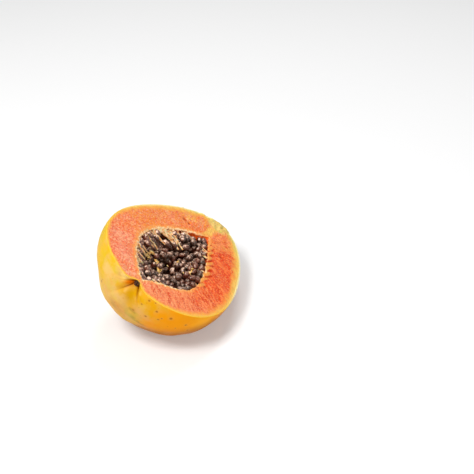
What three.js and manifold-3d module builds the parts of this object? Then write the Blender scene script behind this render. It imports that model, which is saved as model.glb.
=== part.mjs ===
// A ripe papaya cut in half lengthwise, lying on its skin with the cut face turned up and to one side.
//
// Units are millimetres. The half is drawn in the fruit's own frame: +X runs along the fruit's axis from
// the blossom end to the stem end, the cut plane is z = 0, and the half lies below it. Angles round the
// axis start at +Y and run through -Z, so the half spans 0 to PI. Two nested groups then turn it to the way
// it lies, and the outer one sets it on z = 0 with the origin under the middle of its box.

import * as THREE from "three";
import { mergeVertices } from "three/addons/utils/BufferGeometryUtils.js";
import Module from "manifold-3d";

// The whole fruit: an egg with its blunt, wide end at the blossom.
const halfLength = 95.7;
const girthRadius = 65.9;
const taper = 0.26; // how much slimmer the stem end is than the blossom end
const shoulder = 0.067; // fills the stem end out again near its tip
const lobes = 5; // one for each seed-bearing wall
const lobeHeight = 0.022; // share of the radius
const lobeTurn = THREE.MathUtils.degToRad(11); // where the first lobe stands
const alongSteps = 44;
const roundSteps = 30; // over the half
const blossomCrowding = 1.25; // puts more rings at the blossom end, where the creases are

// The blossom end is drawn in like the mouth of a bag, with creases running out from a small scar.
const dimpleDepth = 4.2;
const dimpleRadius = 9;
// Each crease has its angle, its depth, the distance from the pole at which it is deepest, and its width.
const creases = [
  { degrees: 24, depth: 2.4, reach: 7, width: 2.4 },
  { degrees: 62, depth: 2.6, reach: 9, width: 2.4 },
  { degrees: 104, depth: 1.6, reach: 11, width: 5 },
  { degrees: 135, depth: 2.2, reach: 6.5, width: 2 },
];

// The stem end carries the low corky scar where the stalk broke away.
const stalkScarHeight = 1.8;
const stalkScarRadius = 9;

// The seed cavity: pointed at both ends and widest towards the blossom end.
const cavityStart = -80;
const cavityEnd = 59.5;
const cavityRadius = 35.3;
const cavityBulge = 0.81; // under 1 moves the widest place towards the blossom end
const cavityBulgeSkew = 0.075; // on the +Y side the widest place lies further from it than on the -Y side
const cavityPinch = 0.7; // how much the -Y side is drawn in at the blossom end
const cavityPinchShare = 0.29; // over this share of the cavity's length
const cavityLobeHeight = 0.05;
const cavitySkew = 0.025; // the +Y wall is thinner than the -Y one
const wallSteps = { along: 30, round: 36 };

// The seeds stand side by side on a bed that fills the cavity's bottom and is itself hollow, like a trough.
const bedSteps = { along: 18, round: 24 };
const seedPitch = 7.2;
const rowPitch = seedPitch * Math.sqrt(0.75); // every other row is half a pitch on, so rows stand closer
const seedRadius = 3.3;
const seedStretch = 1.12; // along the way it stands
const seedSink = 1.2; // how far the bed's surface lies behind the seeds' centres
const seedJitter = 0.1; // share of the pitch
const seedSizeSpread = 0.08; // share of the radius
const rimDepth = 4.0; // depth below the cut of the outermost seeds' centres
const bedEdgeDepth = 5.6;
const troughShare = 0.55; // the trough's depth, as a share of its half width
const troughCurvePoints = 41;
const thinnest = 0.05; // least radius of the cavity, towards its ends
const wallClearance = 0.4;
const seedDraw = 20417; // start of the random draw

const mergeDistance = 1e-4;

// The way it lies.
const roll = THREE.MathUtils.degToRad(33.4); // turned about its own axis, the +Y side up
const droop = THREE.MathUtils.degToRad(12); // the slimmer stem end lies lower
const restSpotDepth = 2.9; // how far the soft skin is pressed flat where it rests

const wasm = await Module();
wasm.setup();

// A closed geometry as a solid that can be joined and cut.
function toSolid(geometry) {
  const bare = geometry.clone();
  for (const name of ["normal", "uv"]) bare.deleteAttribute(name);
  const merged = mergeVertices(bare, mergeDistance);
  return new wasm.Manifold(
    new wasm.Mesh({
      numProp: 3,
      vertProperties: new Float32Array(merged.attributes.position.array),
      triVerts: new Uint32Array(merged.index.array),
    }),
  );
}

// A solid as a flat-shaded geometry.
function toGeometry(solid) {
  const { vertProperties, triVerts } = solid.getMesh();
  const geometry = new THREE.BufferGeometry()
    .setAttribute("position", new THREE.BufferAttribute(vertProperties, 3))
    .setIndex(new THREE.BufferAttribute(triVerts, 1))
    .toNonIndexed();
  geometry.computeVertexNormals();
  return geometry;
}

// The point at an angle round the axis, starting at +Y and running through -Z.
function roundAxis(x, radius, angle) {
  return new THREE.Vector3(x, radius * Math.cos(angle), -radius * Math.sin(angle));
}

// How far a crease pulls the skin in, at an angle round the pole and a distance from it.
function creasePull({ degrees, depth, reach, width }, angle, distance) {
  const fade = (distance / reach) * Math.exp(1 - distance / reach);
  const across = (angle - THREE.MathUtils.degToRad(degrees)) * distance;
  return depth * fade * Math.exp(-((across / width) ** 2));
}

// A point of the skin. along runs from 0 at the blossom end to 1 at the stem end.
function skinPoint(along, angle) {
  const turn = Math.PI * along ** blossomCrowding;
  const c = -Math.cos(turn);
  const lobe = 1 + lobeHeight * Math.cos(lobes * (angle - lobeTurn));
  const radius = girthRadius * Math.sin(turn) * (1 - taper * c + shoulder * c ** 3) * lobe;
  const blossomSide = c < 0 ? 1 : 0;
  const dimple = dimpleDepth * Math.exp(-((radius / dimpleRadius) ** 2));
  const creased = creases.reduce((sum, crease) => sum + creasePull(crease, angle, radius), 0);
  const drawnIn = blossomSide * (dimple + creased);
  const scar = (1 - blossomSide) * stalkScarHeight * Math.exp(-((radius / stalkScarRadius) ** 6));
  return roundAxis(halfLength * c + drawnIn + scar, radius, angle);
}

// A closed solid from rows of points round the axis, all equally long, and a point at each end.
function rowsSolid(first, rows, last) {
  const count = rows[0].length;
  const points = [first, ...rows.flat(), last];
  const end = points.length - 1;
  const at = (i, j) => 1 + i * count + (j % count);
  const faces = [];
  for (let j = 0; j < count; j++) {
    faces.push([0, at(0, j), at(0, j + 1)]);
    for (let i = 0; i < rows.length - 1; i++) {
      faces.push([at(i, j), at(i + 1, j), at(i, j + 1)]);
      faces.push([at(i + 1, j), at(i + 1, j + 1), at(i, j + 1)]);
    }
    faces.push([end, at(rows.length - 1, j + 1), at(rows.length - 1, j)]);
  }
  return toSolid(new THREE.BufferGeometry().setFromPoints(points).setIndex(faces.flat()));
}

// A list of made(0), made(1) and so on.
function list(length, made) {
  return Array.from({ length }, (_, k) => made(k));
}

// The half without its cavity. Each row runs over the skin from one side of the cut to the other, and the
// step back to the row's start lies in the cut.
function halfFruit() {
  const rows = list(alongSteps - 1, (i) =>
    list(roundSteps + 1, (j) => skinPoint((i + 1) / alongSteps, (Math.PI * j) / roundSteps)),
  );
  return rowsSolid(skinPoint(0, 0), rows, skinPoint(1, 0));
}

// The cavity's radius at a place along the axis and an angle round it.
function cavityReach(x, angle) {
  const along = THREE.MathUtils.clamp((x - cavityStart) / (cavityEnd - cavityStart), 0, 1);
  const side = Math.cos(angle);
  const pinch = cavityPinch * ((1 - side) / 2) * (1 - THREE.MathUtils.smoothstep(along, 0, cavityPinchShare));
  const turn = Math.PI * along ** (cavityBulge + cavityBulgeSkew * side) * (1 - pinch);
  const lobe = 1 + cavityLobeHeight * Math.cos(lobes * (angle - lobeTurn));
  return cavityRadius * Math.sin(turn) * lobe * (1 + cavitySkew * side);
}

// A closed body, pointed at both ends, from the shape of its rows: shape(x, angle) gives their points.
function spindle(start, end, steps, shape) {
  const rows = list(steps.along - 1, (i) => {
    const x = start + ((end - start) * (i + 1)) / steps.along;
    return list(steps.round, (j) => shape(x, (2 * Math.PI * (j + 0.5)) / steps.round));
  });
  return rowsSolid(new THREE.Vector3(start, 0, 0), rows, new THREE.Vector3(end, 0, 0));
}

// The cavity with its wall moved inwards by a gap.
function cavitySolid(gap, steps) {
  return spindle(cavityStart + 2 * gap, cavityEnd - 2 * gap, steps, (x, angle) =>
    roundAxis(x, Math.max(cavityReach(x, angle) - gap, thinnest), angle),
  );
}

// A point of the trough that the seeds' centres stand on, or of one that lies further out by a distance.
function troughPoint(x, angle, further) {
  const reach = Math.max(cavityReach(x, angle) - seedRadius - wallClearance, 0);
  const across = (reach + further) * Math.cos(angle);
  return new THREE.Vector3(x, across, -rimDepth - (reach * troughShare + further) * Math.sin(angle));
}

// A box that reaches far past the fruit and has its lower face at z = bottom.
function slabAbove(bottom) {
  const side = 4 * halfLength;
  return new THREE.BoxGeometry(side, side, side).translate(0, 0, bottom + side / 2);
}

// The bed: what fills the cavity below the trough.
function seedBed() {
  const trough = spindle(cavityStart, cavityEnd, bedSteps, (x, angle) => troughPoint(x, angle, seedSink));
  return cavitySolid(wallClearance, bedSteps)
    .subtract(toSolid(slabAbove(-bedEdgeDepth)))
    .subtract(trough);
}

// A random number from -1 to 1.
function draw() {
  return 2 * THREE.MathUtils.seededRandom() - 1;
}

// Where the seeds stand: rows across the trough, with the seeds a pitch apart along its curve.
function seedPlaces() {
  THREE.MathUtils.seededRandom(seedDraw);
  const places = [];
  const rows = Math.floor((cavityEnd - cavityStart) / rowPitch);
  for (let row = 0; row <= rows; row++) {
    const x = cavityStart + (row + 0.5) * rowPitch;
    if (cavityReach(x, 0) < 2 * seedRadius) continue;
    const curve = new THREE.CatmullRomCurve3(
      list(troughCurvePoints, (k) => troughPoint(x, (Math.PI * k) / (troughCurvePoints - 1), 0)),
    );
    const steps = Math.max(Math.round(curve.getLength() / seedPitch), 1);
    const shift = row % 2 ? 0.5 : 0;
    for (let k = 0; k + shift <= steps; k++) {
      const share = THREE.MathUtils.clamp((k + shift + seedJitter * draw()) / steps, 0, 1);
      const centre = curve.getPointAt(share);
      const tangent = curve.getTangentAt(share);
      centre.x += seedPitch * seedJitter * draw();
      places.push({
        centre,
        upright: new THREE.Vector3(0, tangent.z, -tangent.y),
        radius: seedRadius * (1 + seedSizeSpread * draw()),
        spin: Math.PI * draw(),
      });
    }
  }
  return places;
}

// A seed, longest along upright and turned about it by spin.
function seedSolid({ centre, upright, radius, spin }) {
  const zAxis = new THREE.Vector3(0, 0, 1);
  const lay = new THREE.Quaternion()
    .setFromUnitVectors(zAxis, upright)
    .multiply(new THREE.Quaternion().setFromAxisAngle(zAxis, spin));
  return toSolid(
    new THREE.IcosahedronGeometry(radius)
      .scale(1, 1, seedStretch)
      .applyQuaternion(lay)
      .translate(...centre.toArray()),
  );
}

// The seeds in their bed, kept clear of the cavity's wall.
function seedMass() {
  const seeds = seedPlaces().map(seedSolid);
  return seedBed()
    .add(seeds.reduce((joined, seed) => joined.add(seed)))
    .intersect(cavitySolid(wallClearance, bedSteps));
}

// The half with its cavity cut out and its resting spot pressed flat. lie turns the fruit's frame to the
// way it lies.
function fruitWall(lie) {
  const whole = halfFruit();
  const upward = new THREE.Vector3(0, 0, 1).applyMatrix4(lie.clone().invert());
  const { vertProperties } = whole.getMesh();
  let lowest = Infinity;
  for (let i = 0; i < vertProperties.length; i += 3)
    lowest = Math.min(lowest, upward.dot(new THREE.Vector3().fromArray(vertProperties, i)));
  const above = slabAbove(lowest + restSpotDepth).applyMatrix4(lie.clone().invert());
  return whole.intersect(toSolid(above)).subtract(cavitySolid(0, wallSteps));
}

// A named piece of the half.
function mesh(name, solid, color, roughness) {
  const material = new THREE.MeshStandardMaterial({ color, roughness, metalness: 0 });
  const made = new THREE.Mesh(toGeometry(solid), material);
  made.name = name;
  return made;
}

const rolled = new THREE.Group();
rolled.rotation.x = roll;
const drooped = new THREE.Group();
drooped.rotation.y = droop;
drooped.add(rolled);
drooped.updateMatrixWorld(true);

rolled.add(mesh("flesh_and_skin", fruitWall(rolled.matrixWorld), 0xf0a02c, 0.45));
rolled.add(mesh("seeds", seedMass(), 0x2b1d1a, 0.3));

// The origin goes under the middle of the box, on the surface that the half lies on.
const papayaHalf = new THREE.Group();
papayaHalf.add(drooped);
const box = new THREE.Box3().setFromObject(papayaHalf, true);
const middle = box.getCenter(new THREE.Vector3());
drooped.position.set(-middle.x, -middle.y, -box.min.z);

export default papayaHalf;
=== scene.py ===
"""The looks of a ripe papaya half, lying on its skin with the cut turned up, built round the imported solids.

Sizes are in millimetres and become metres where a mesh is made. The fruit has a frame of its own: x runs
along its axis from the blossom end to the stem end, the cut is z = 0 and the half lies below it, and angles
round the axis start at +y and run through -z. The class Lie turns that frame to the way the half rests.
"""

from __future__ import annotations

import logging
import math
from dataclasses import dataclass, field
from enum import Enum

import bmesh
import bpy
import numpy as np
from mathutils import Matrix, Vector

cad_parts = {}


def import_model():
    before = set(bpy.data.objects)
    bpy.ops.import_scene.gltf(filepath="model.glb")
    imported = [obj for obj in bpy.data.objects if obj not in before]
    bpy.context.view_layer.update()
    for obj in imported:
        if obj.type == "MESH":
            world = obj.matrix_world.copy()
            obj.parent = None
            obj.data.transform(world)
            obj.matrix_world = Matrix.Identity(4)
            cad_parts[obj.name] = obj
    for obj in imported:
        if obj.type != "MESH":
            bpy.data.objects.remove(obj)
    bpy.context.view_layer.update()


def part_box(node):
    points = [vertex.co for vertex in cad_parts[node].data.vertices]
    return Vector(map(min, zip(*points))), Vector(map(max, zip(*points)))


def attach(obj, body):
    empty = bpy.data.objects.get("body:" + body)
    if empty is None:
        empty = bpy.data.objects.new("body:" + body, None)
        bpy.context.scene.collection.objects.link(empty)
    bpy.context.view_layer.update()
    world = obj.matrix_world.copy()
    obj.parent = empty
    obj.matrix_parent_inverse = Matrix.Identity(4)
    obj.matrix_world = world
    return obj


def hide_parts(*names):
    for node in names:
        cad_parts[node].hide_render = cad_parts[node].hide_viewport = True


LOG = logging.getLogger("papaya_half")
METRES = 0.001
BODY = "root"
Array = np.ndarray
Socket = bpy.types.NodeSocket
Colour = tuple[float, float, float, float]
Point = tuple[float, float, float]
Inputs = dict[str | int, object]
Material = bpy.types.Material
Object = bpy.types.Object


def tint(code: str) -> Colour:
    """Turns a hexadecimal colour such as "f0a020" into linear light.

    Args:
        code: Six hexadecimal digits, two each for red, green and blue.

    Returns:
        Red, green, blue and an alpha of 1.
    """
    parts = [int(code[k : k + 2], 16) / 255 for k in (0, 2, 4)]
    linear = [p / 12.92 if p <= 0.04045 else ((p + 0.055) / 1.055) ** 2.4 for p in parts]
    return (linear[0], linear[1], linear[2], 1.0)


def smooth_step(value: Array, low: float, high: float) -> Array:
    """Rises smoothly from 0 at low to 1 at high."""
    share = np.clip((value - low) / (high - low), 0.0, 1.0)
    return share * share * (3 - 2 * share)


def bell(offset: Array) -> Array:
    """Falls smoothly from 1 at an offset of 0 to almost nothing at 2."""
    return np.exp(-(offset**2))


def round_axis(x: Array | float, radius: Array | float, angle: Array) -> Array:
    """Gives points at places along the axis, distances from it and angles round it."""
    return np.stack([x + 0 * angle, radius * np.cos(angle), -radius * np.sin(angle)], axis=-1)


@dataclass(frozen=True)
class Ripple:
    """A smooth unevenness that is the same on every run: a sum of waves that run in random directions."""

    wavelength: float
    seed: int
    height: float = 1.0
    waves: int = 22

    def at(self, points: Array) -> Array:
        """Gives the unevenness at each point, mostly within one and a half times its height."""
        draw = np.random.default_rng(self.seed)
        ways = draw.normal(size=(self.waves, 3))
        ways /= np.linalg.norm(ways, axis=1, keepdims=True)
        lengths = self.wavelength * draw.uniform(0.7, 1.4, size=(self.waves, 1))
        phases = draw.uniform(0, 2 * math.pi, size=self.waves)
        waves = np.cos(points.reshape(-1, 3) @ (2 * math.pi * ways / lengths).T + phases)
        return self.height * (waves.sum(axis=1) * math.sqrt(2 / self.waves)).reshape(points.shape[:-1])


# -----------------------------------------------------------------------------
# The fruit's form, with the same named sizes as its solids.


@dataclass(frozen=True)
class Crease:
    """A crease that runs out from the blossom end's scar, deepest at its reach."""

    degrees: float
    depth: float
    reach: float
    width: float

    def share(self, angle: Array, distance: Array, widen: float = 1.0) -> Array:
        """Gives the share of its depth at an angle round the axis and a distance from it."""
        off = (angle - math.radians(self.degrees)) * distance / (self.width * widen)
        return distance / self.reach * np.exp(1 - distance / self.reach) * bell(off)


@dataclass(frozen=True)
class FruitForm:
    """The formulas of the skin, the cavity and the trough that the seeds stand on."""

    half_length: float = 95.7
    girth_radius: float = 65.9
    taper: float = 0.26
    shoulder: float = 0.067
    lobes: int = 5
    lobe_height: float = 0.022
    lobe_turn: float = math.radians(11)
    blossom_crowding: float = 1.25
    dimple_depth: float = 4.2
    dimple_radius: float = 9.0
    creases: tuple[Crease, ...] = (
        Crease(24, 2.4, 7.0, 2.4),
        Crease(62, 2.6, 9.0, 2.4),
        Crease(104, 1.6, 11.0, 5.0),
        Crease(135, 2.2, 6.5, 2.0),
    )
    stalk_scar_height: float = 1.8
    stalk_scar_radius: float = 9.0
    cavity_start: float = -80.0
    cavity_end: float = 59.5
    cavity_radius: float = 35.3
    cavity_bulge: float = 0.81
    cavity_bulge_skew: float = 0.075
    cavity_pinch: float = 0.7
    cavity_pinch_share: float = 0.29
    cavity_lobe_height: float = 0.05
    cavity_skew: float = 0.025
    seed_clearance: float = 3.7
    rim_depth: float = 4.0
    trough_share: float = 0.55
    rest_spot_depth: float = 2.9

    def skin(self, along: Array, angle: Array) -> Array:
        """Gives points of the skin.

        Args:
            along: From 0 at the blossom end to 1 at the stem end.
            angle: Angle round the axis, in the shape of along.

        Returns:
            Points in the fruit's frame, with x, y and z last.
        """
        turn = math.pi * along**self.blossom_crowding
        c = -np.cos(turn)
        lobe = 1 + self.lobe_height * np.cos(self.lobes * (angle - self.lobe_turn))
        radius = self.girth_radius * np.sin(turn) * (1 - self.taper * c + self.shoulder * c**3) * lobe
        dimple = self.dimple_depth * bell(radius / self.dimple_radius)
        crease = sum(c.depth * c.share(angle, radius) for c in self.creases)
        scar = self.stalk_scar_height * np.exp(-((radius / self.stalk_scar_radius) ** 6))
        return round_axis(self.half_length * c + np.where(c < 0, dimple + crease, scar), radius, angle)

    def cavity_reach(self, x: Array, angle: Array) -> Array:
        """Gives the cavity's radius at a place along the axis and an angle round it."""
        along = np.clip((x - self.cavity_start) / (self.cavity_end - self.cavity_start), 0, 1)
        side = np.cos(angle)
        pinch = self.cavity_pinch * (1 - side) / 2 * (1 - smooth_step(along, 0, self.cavity_pinch_share))
        turn = math.pi * along ** (self.cavity_bulge + self.cavity_bulge_skew * side) * (1 - pinch)
        lobe = 1 + self.cavity_lobe_height * np.cos(self.lobes * (angle - self.lobe_turn))
        return self.cavity_radius * np.sin(turn) * lobe * (1 + self.cavity_skew * side)

    def cavity(self, x: Array, angle: Array) -> Array:
        """Gives points of the cavity's wall."""
        return round_axis(x, self.cavity_reach(x, angle), angle)

    def trough_reach(self, x: Array, angle: Array) -> Array:
        """Gives the trough's radius at the cut, where it is as wide as the cavity less a seed's room."""
        return self.cavity_reach(x, angle) - self.seed_clearance

    def trough(self, x: Array, angle: Array) -> Array:
        """Gives points of the trough that the seeds' middles stand on."""
        reach = np.maximum(self.trough_reach(x, angle), 0)
        down = -self.rim_depth - reach * self.trough_share * np.sin(angle)
        return np.stack([x + 0 * angle, reach * np.cos(angle), down], axis=-1)


@dataclass(frozen=True)
class Lie:
    """The way the half lies: rolled about its axis, the stem end drooping, and set on the floor."""

    origin: Array
    roll: float = math.radians(33.4)
    droop: float = math.radians(12.0)

    def turn(self) -> Array:
        """Gives the matrix that turns the fruit's frame to the row frame."""
        cr, sr, cd, sd = math.cos(self.roll), math.sin(self.roll), math.cos(self.droop), math.sin(self.droop)
        rolled = np.array([[1, 0, 0], [0, cr, -sr], [0, sr, cr]])
        drooped = np.array([[cd, 0, sd], [0, 1, 0], [-sd, 0, cd]])
        return drooped @ rolled

    def placed(self, points: Array) -> Array:
        """Moves points from the fruit's frame to the row frame."""
        return points @ self.turn().T + self.origin

    @classmethod
    def in_box(cls, form: FruitForm, low: Vector, high: Vector) -> Lie:
        """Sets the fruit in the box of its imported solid.

        Args:
            form: The fruit's form.
            low: The box's lowest corner, in metres.
            high: The box's highest corner, in metres.

        Returns:
            The lie, with its origin in millimetres.
        """
        along, angle = np.meshgrid(np.linspace(0, 1, 121), np.linspace(0, math.pi, 91))
        turned = form.skin(along, angle).reshape(-1, 3) @ cls(np.zeros(3)).turn().T
        middle = (turned.min(0) + turned.max(0)) / 2
        box_middle = np.array((low + high) / 2) / METRES
        floor = low.z / METRES - turned[:, 2].min() - form.rest_spot_depth
        return cls(np.array([box_middle[0] - middle[0], box_middle[1] - middle[1], floor]))


# -----------------------------------------------------------------------------
# Shaders


class Wiring:
    """Adds nodes to one tree and links them."""

    def __init__(self, tree: bpy.types.NodeTree) -> None:
        """Takes the tree to work on."""
        self.tree = tree

    def add(self, kind: str, inputs: Inputs | None = None, **settings: object) -> bpy.types.Node:
        """Adds a node.

        Args:
            kind: The node's type name.
            inputs: What goes into its sockets: a socket to link, or a value to set.
            settings: The node's own properties.

        Returns:
            The new node.
        """
        node = self.tree.nodes.new(kind)
        for name, value in settings.items():
            setattr(node, name, value)
        for name, value in (inputs or {}).items():
            self.feed(node.inputs[name], value)
        return node

    def get(self, kind: str, inputs: Inputs | None = None, **settings: object) -> Socket:
        """Adds a node, and gives its first output."""
        return self.add(kind, inputs, **settings).outputs[0]

    def feed(self, socket: Socket, value: object) -> None:
        """Links a socket to another, or sets its value."""
        if isinstance(value, bpy.types.NodeSocket):
            self.tree.links.new(value, socket)
        else:
            socket.default_value = value

    def sum(self, kind: str, *values: object) -> Socket:
        """Works out a Math node with the operation named, and gives its result."""
        return self.get("ShaderNodeMath", dict(enumerate(values)), operation=kind)

    def times(self, first: object, *others: object) -> object:
        """Multiplies values."""
        for other in others:
            first = self.sum("MULTIPLY", first, other)
        return first

    def measure(self, kind: str, first: object, second: object) -> Socket:
        """Works out a number from two vectors, such as their DISTANCE or DOT_PRODUCT."""
        return self.add("ShaderNodeVectorMath", {0: first, 1: second}, operation=kind).outputs["Value"]

    def rise(self, value: object, low: object, high: object) -> Socket:
        """Rises smoothly from 0 where value is low to 1 where it is high."""
        inputs = {"Value": value, "From Min": low, "From Max": high}
        return self.get("ShaderNodeMapRange", inputs, interpolation_type="SMOOTHSTEP")

    def spread(self, value: object, low: float, high: float, to_low: float, to_high: float) -> Socket:
        """Maps value from one range to another, and holds it there."""
        inputs = {"Value": value, "From Min": low, "From Max": high, "To Min": to_low, "To Max": to_high}
        return self.get("ShaderNodeMapRange", inputs)

    def blend(self, share: object, first: object, second: object) -> Socket:
        """Mixes two colours, and gives the second where share is 1."""
        return self.add("ShaderNodeMix", {0: share, 6: first, 7: second}, data_type="RGBA").outputs[2]

    def attribute(self, name: str, output: str = "Fac") -> Socket:
        """Reads an attribute of the piece."""
        return self.add("ShaderNodeAttribute", attribute_name=name).outputs[output]


def start_group(
    name: str, kind: str, inputs: dict[str, str], output: tuple[str, str]
) -> tuple[Wiring, dict[str, Socket], Socket]:
    """Makes an empty node group.

    Args:
        name: The group's name.
        kind: Shader or Geometry.
        inputs: Each input's name, with its type's short name.
        output: The output's name and its type's short name.

    Returns:
        The wiring, the inputs by name and the output.
    """
    tree = bpy.data.node_groups.new(name, f"{kind}NodeTree")
    for socket, short in inputs.items():
        tree.interface.new_socket(socket, in_out="INPUT", socket_type=f"NodeSocket{short}")
    tree.interface.new_socket(output[0], in_out="OUTPUT", socket_type=f"NodeSocket{output[1]}")
    entry = tree.nodes.new("NodeGroupInput")
    leave = tree.nodes.new("NodeGroupOutput")
    return Wiring(tree), {socket.name: socket for socket in entry.outputs}, leave.inputs[0]


class SharedEffects:
    """The effects that several finishes use, each a node group that is built once."""

    def __init__(self) -> None:
        """Builds the groups."""
        self.patches = self._patches()
        self.grain = self._grain()

    @staticmethod
    def _patches() -> bpy.types.NodeTree:
        """Makes soft-edged patches: 1 inside, 0 outside."""
        numbers = dict.fromkeys(("Per millimetre", "Detail", "Low", "High"), "Float")
        wire, given, out = start_group("patches", "Shader", {"Place": "Vector", **numbers}, ("Mask", "Float"))
        where = {"Vector": given["Place"], "Scale": given["Per millimetre"], "Detail": given["Detail"]}
        noise = wire.get("ShaderNodeTexNoise", where)
        wire.feed(out, wire.rise(noise, given["Low"], given["High"]))
        return wire.tree

    @staticmethod
    def _grain() -> bpy.types.NodeTree:
        """Makes the fine relief of something moist: cells with softer swellings among them."""
        numbers = dict.fromkeys(("Per millimetre", "Strength", "Height in metres"), "Float")
        inputs = {"Place": "Vector", **numbers}
        wire, given, out = start_group("moist grain", "Shader", inputs, ("Normal", "Vector"))
        where = {"Vector": given["Place"], "Scale": given["Per millimetre"]}
        cells = wire.get("ShaderNodeTexVoronoi", where, feature="SMOOTH_F1")
        swell = wire.get("ShaderNodeTexNoise", {**where, "Detail": 4.0})
        bump = {"Strength": given["Strength"], "Distance": given["Height in metres"]}
        bump["Height"] = wire.sum("SUBTRACT", swell, cells)
        wire.feed(out, wire.get("ShaderNodeBump", bump))
        return wire.tree


@dataclass(frozen=True)
class Gloss:
    """The parts of a finish that are the same all over: they are set on the shader's own sockets."""

    roughness: float = 0.4
    coat: float = 0.0
    coat_roughness: float = 0.1
    coat_refraction: float = 1.5
    under_light: float = 0.0
    under_radius: Point = (1.0, 0.4, 0.2)
    under_depth: float = 2.0
    specular: float = 0.5
    specular_tint: Colour = (1.0, 1.0, 1.0, 1.0)
    refraction: float = 1.45

    def start(self, name: str) -> tuple[Material, bpy.types.Node]:
        """Makes a material whose shader has these constants, and gives it with its shader."""
        material = bpy.data.materials.new(name)
        material.use_nodes = True
        material.node_tree.nodes.clear()
        constants = {
            "Roughness": self.roughness,
            "Coat Weight": self.coat,
            "Coat Roughness": self.coat_roughness,
            "Coat IOR": self.coat_refraction,
            "Subsurface Weight": self.under_light,
            "Subsurface Radius": self.under_radius,
            "Subsurface Scale": self.under_depth * METRES,
            "Specular IOR Level": self.specular,
            "Specular Tint": self.specular_tint,
            "IOR": self.refraction,
        }
        wire = Wiring(material.node_tree)
        shader = wire.add("ShaderNodeBsdfPrincipled", constants)
        wire.add("ShaderNodeOutputMaterial", {"Surface": shader.outputs[0]})
        return material, shader


@dataclass(frozen=True)
class Mark:
    """A round mark at a place in the fruit's frame, such as a brown fleck."""

    x: float
    y: float
    z: float
    radius: float


@dataclass(frozen=True)
class Cloud(Mark):
    """A soft patch of another colour, on the skin or on the cut."""

    share: float
    code: str


class Paint(Wiring):
    """A material under way: its shader, the place that its patterns are read at, and the colour so far."""

    raggedness = 1.6

    def __init__(self, name: str, gloss: Gloss, effects: SharedEffects) -> None:
        """Starts the material.

        Args:
            name: The material's name.
            gloss: Its constants.
            effects: The shared groups.
        """
        self.material, self.shader = gloss.start(name)
        super().__init__(self.material.node_tree)
        self.effects = effects
        self.place = self.attribute("place", "Vector")
        self.x, self.y, self.z = self.add("ShaderNodeSeparateXYZ", {0: self.place}).outputs
        self.colour: object = None

    def between(self, share: object, first: float, second: float) -> Socket:
        """Gives the first number where share is 0 and the second where it is 1."""
        return self.spread(share, 0.0, 1.0, first, second)

    def patch(
        self, per_mm: float, low: float, high: float, detail: float = 3.0, place: object = None
    ) -> Socket:
        """Makes a mask of patches.

        Args:
            per_mm: How many patches there are to the millimetre.
            low: The noise at which a patch starts.
            high: The noise at which it is full.
            detail: How ragged it is.
            place: Where to read the pattern, if not at the piece's own places.

        Returns:
            The mask.
        """
        inputs = {"Place": place or self.place, "Per millimetre": per_mm, "Detail": detail}
        inputs |= {"Low": low, "High": high}
        return self.get("ShaderNodeGroup", inputs, node_tree=self.effects.patches)

    def lay(self, colour: object, *shares: object) -> None:
        """Lays a colour over the colour so far, as much as the product of the shares."""
        self.colour = self.blend(self.times(*shares), self.colour, colour)

    def off(self, mark: Mark, noise: Socket) -> Socket:
        """Gives the distance from a mark, made ragged by a noise."""
        distance = self.measure("DISTANCE", self.place, (mark.x, mark.y, mark.z))
        return self.sum("MULTIPLY_ADD", noise, mark.radius * self.raggedness, distance)

    def noise(self, per_mm: float, detail: float) -> Socket:
        """Gives a noise."""
        return self.get("ShaderNodeTexNoise", {"Vector": self.place, "Scale": per_mm, "Detail": detail})

    def lay_clouds(self, per_mm: float, clouds: tuple[Cloud, ...]) -> None:
        """Lays soft patches with ragged edges over the colour so far. A higher per_mm makes them finer."""
        noise = self.noise(per_mm, 3.0)
        for cloud in clouds:
            mask = self.rise(self.off(cloud, noise), cloud.radius * 2.1, cloud.radius * 1.0)
            self.lay(tint(cloud.code), mask, cloud.share)

    def finished(self, per_mm: float, strength: float, height: float, roughness: object = None) -> Material:
        """Links the colour so far and the moist grain to the shader.

        Args:
            per_mm: How many cells of the grain there are to the millimetre.
            strength: The grain's strength.
            height: The grain's height in metres.
            roughness: The roughness, where it isn't the same all over.

        Returns:
            The material.
        """
        grain = {"Place": self.place, "Per millimetre": per_mm}
        grain |= {"Strength": strength, "Height in metres": height}
        normal = self.get("ShaderNodeGroup", grain, node_tree=self.effects.grain)
        self.feed(self.shader.inputs["Base Color"], self.colour)
        self.feed(self.shader.inputs["Normal"], normal)
        if roughness:
            self.feed(self.shader.inputs["Roughness"], roughness)
        return self.material


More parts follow.
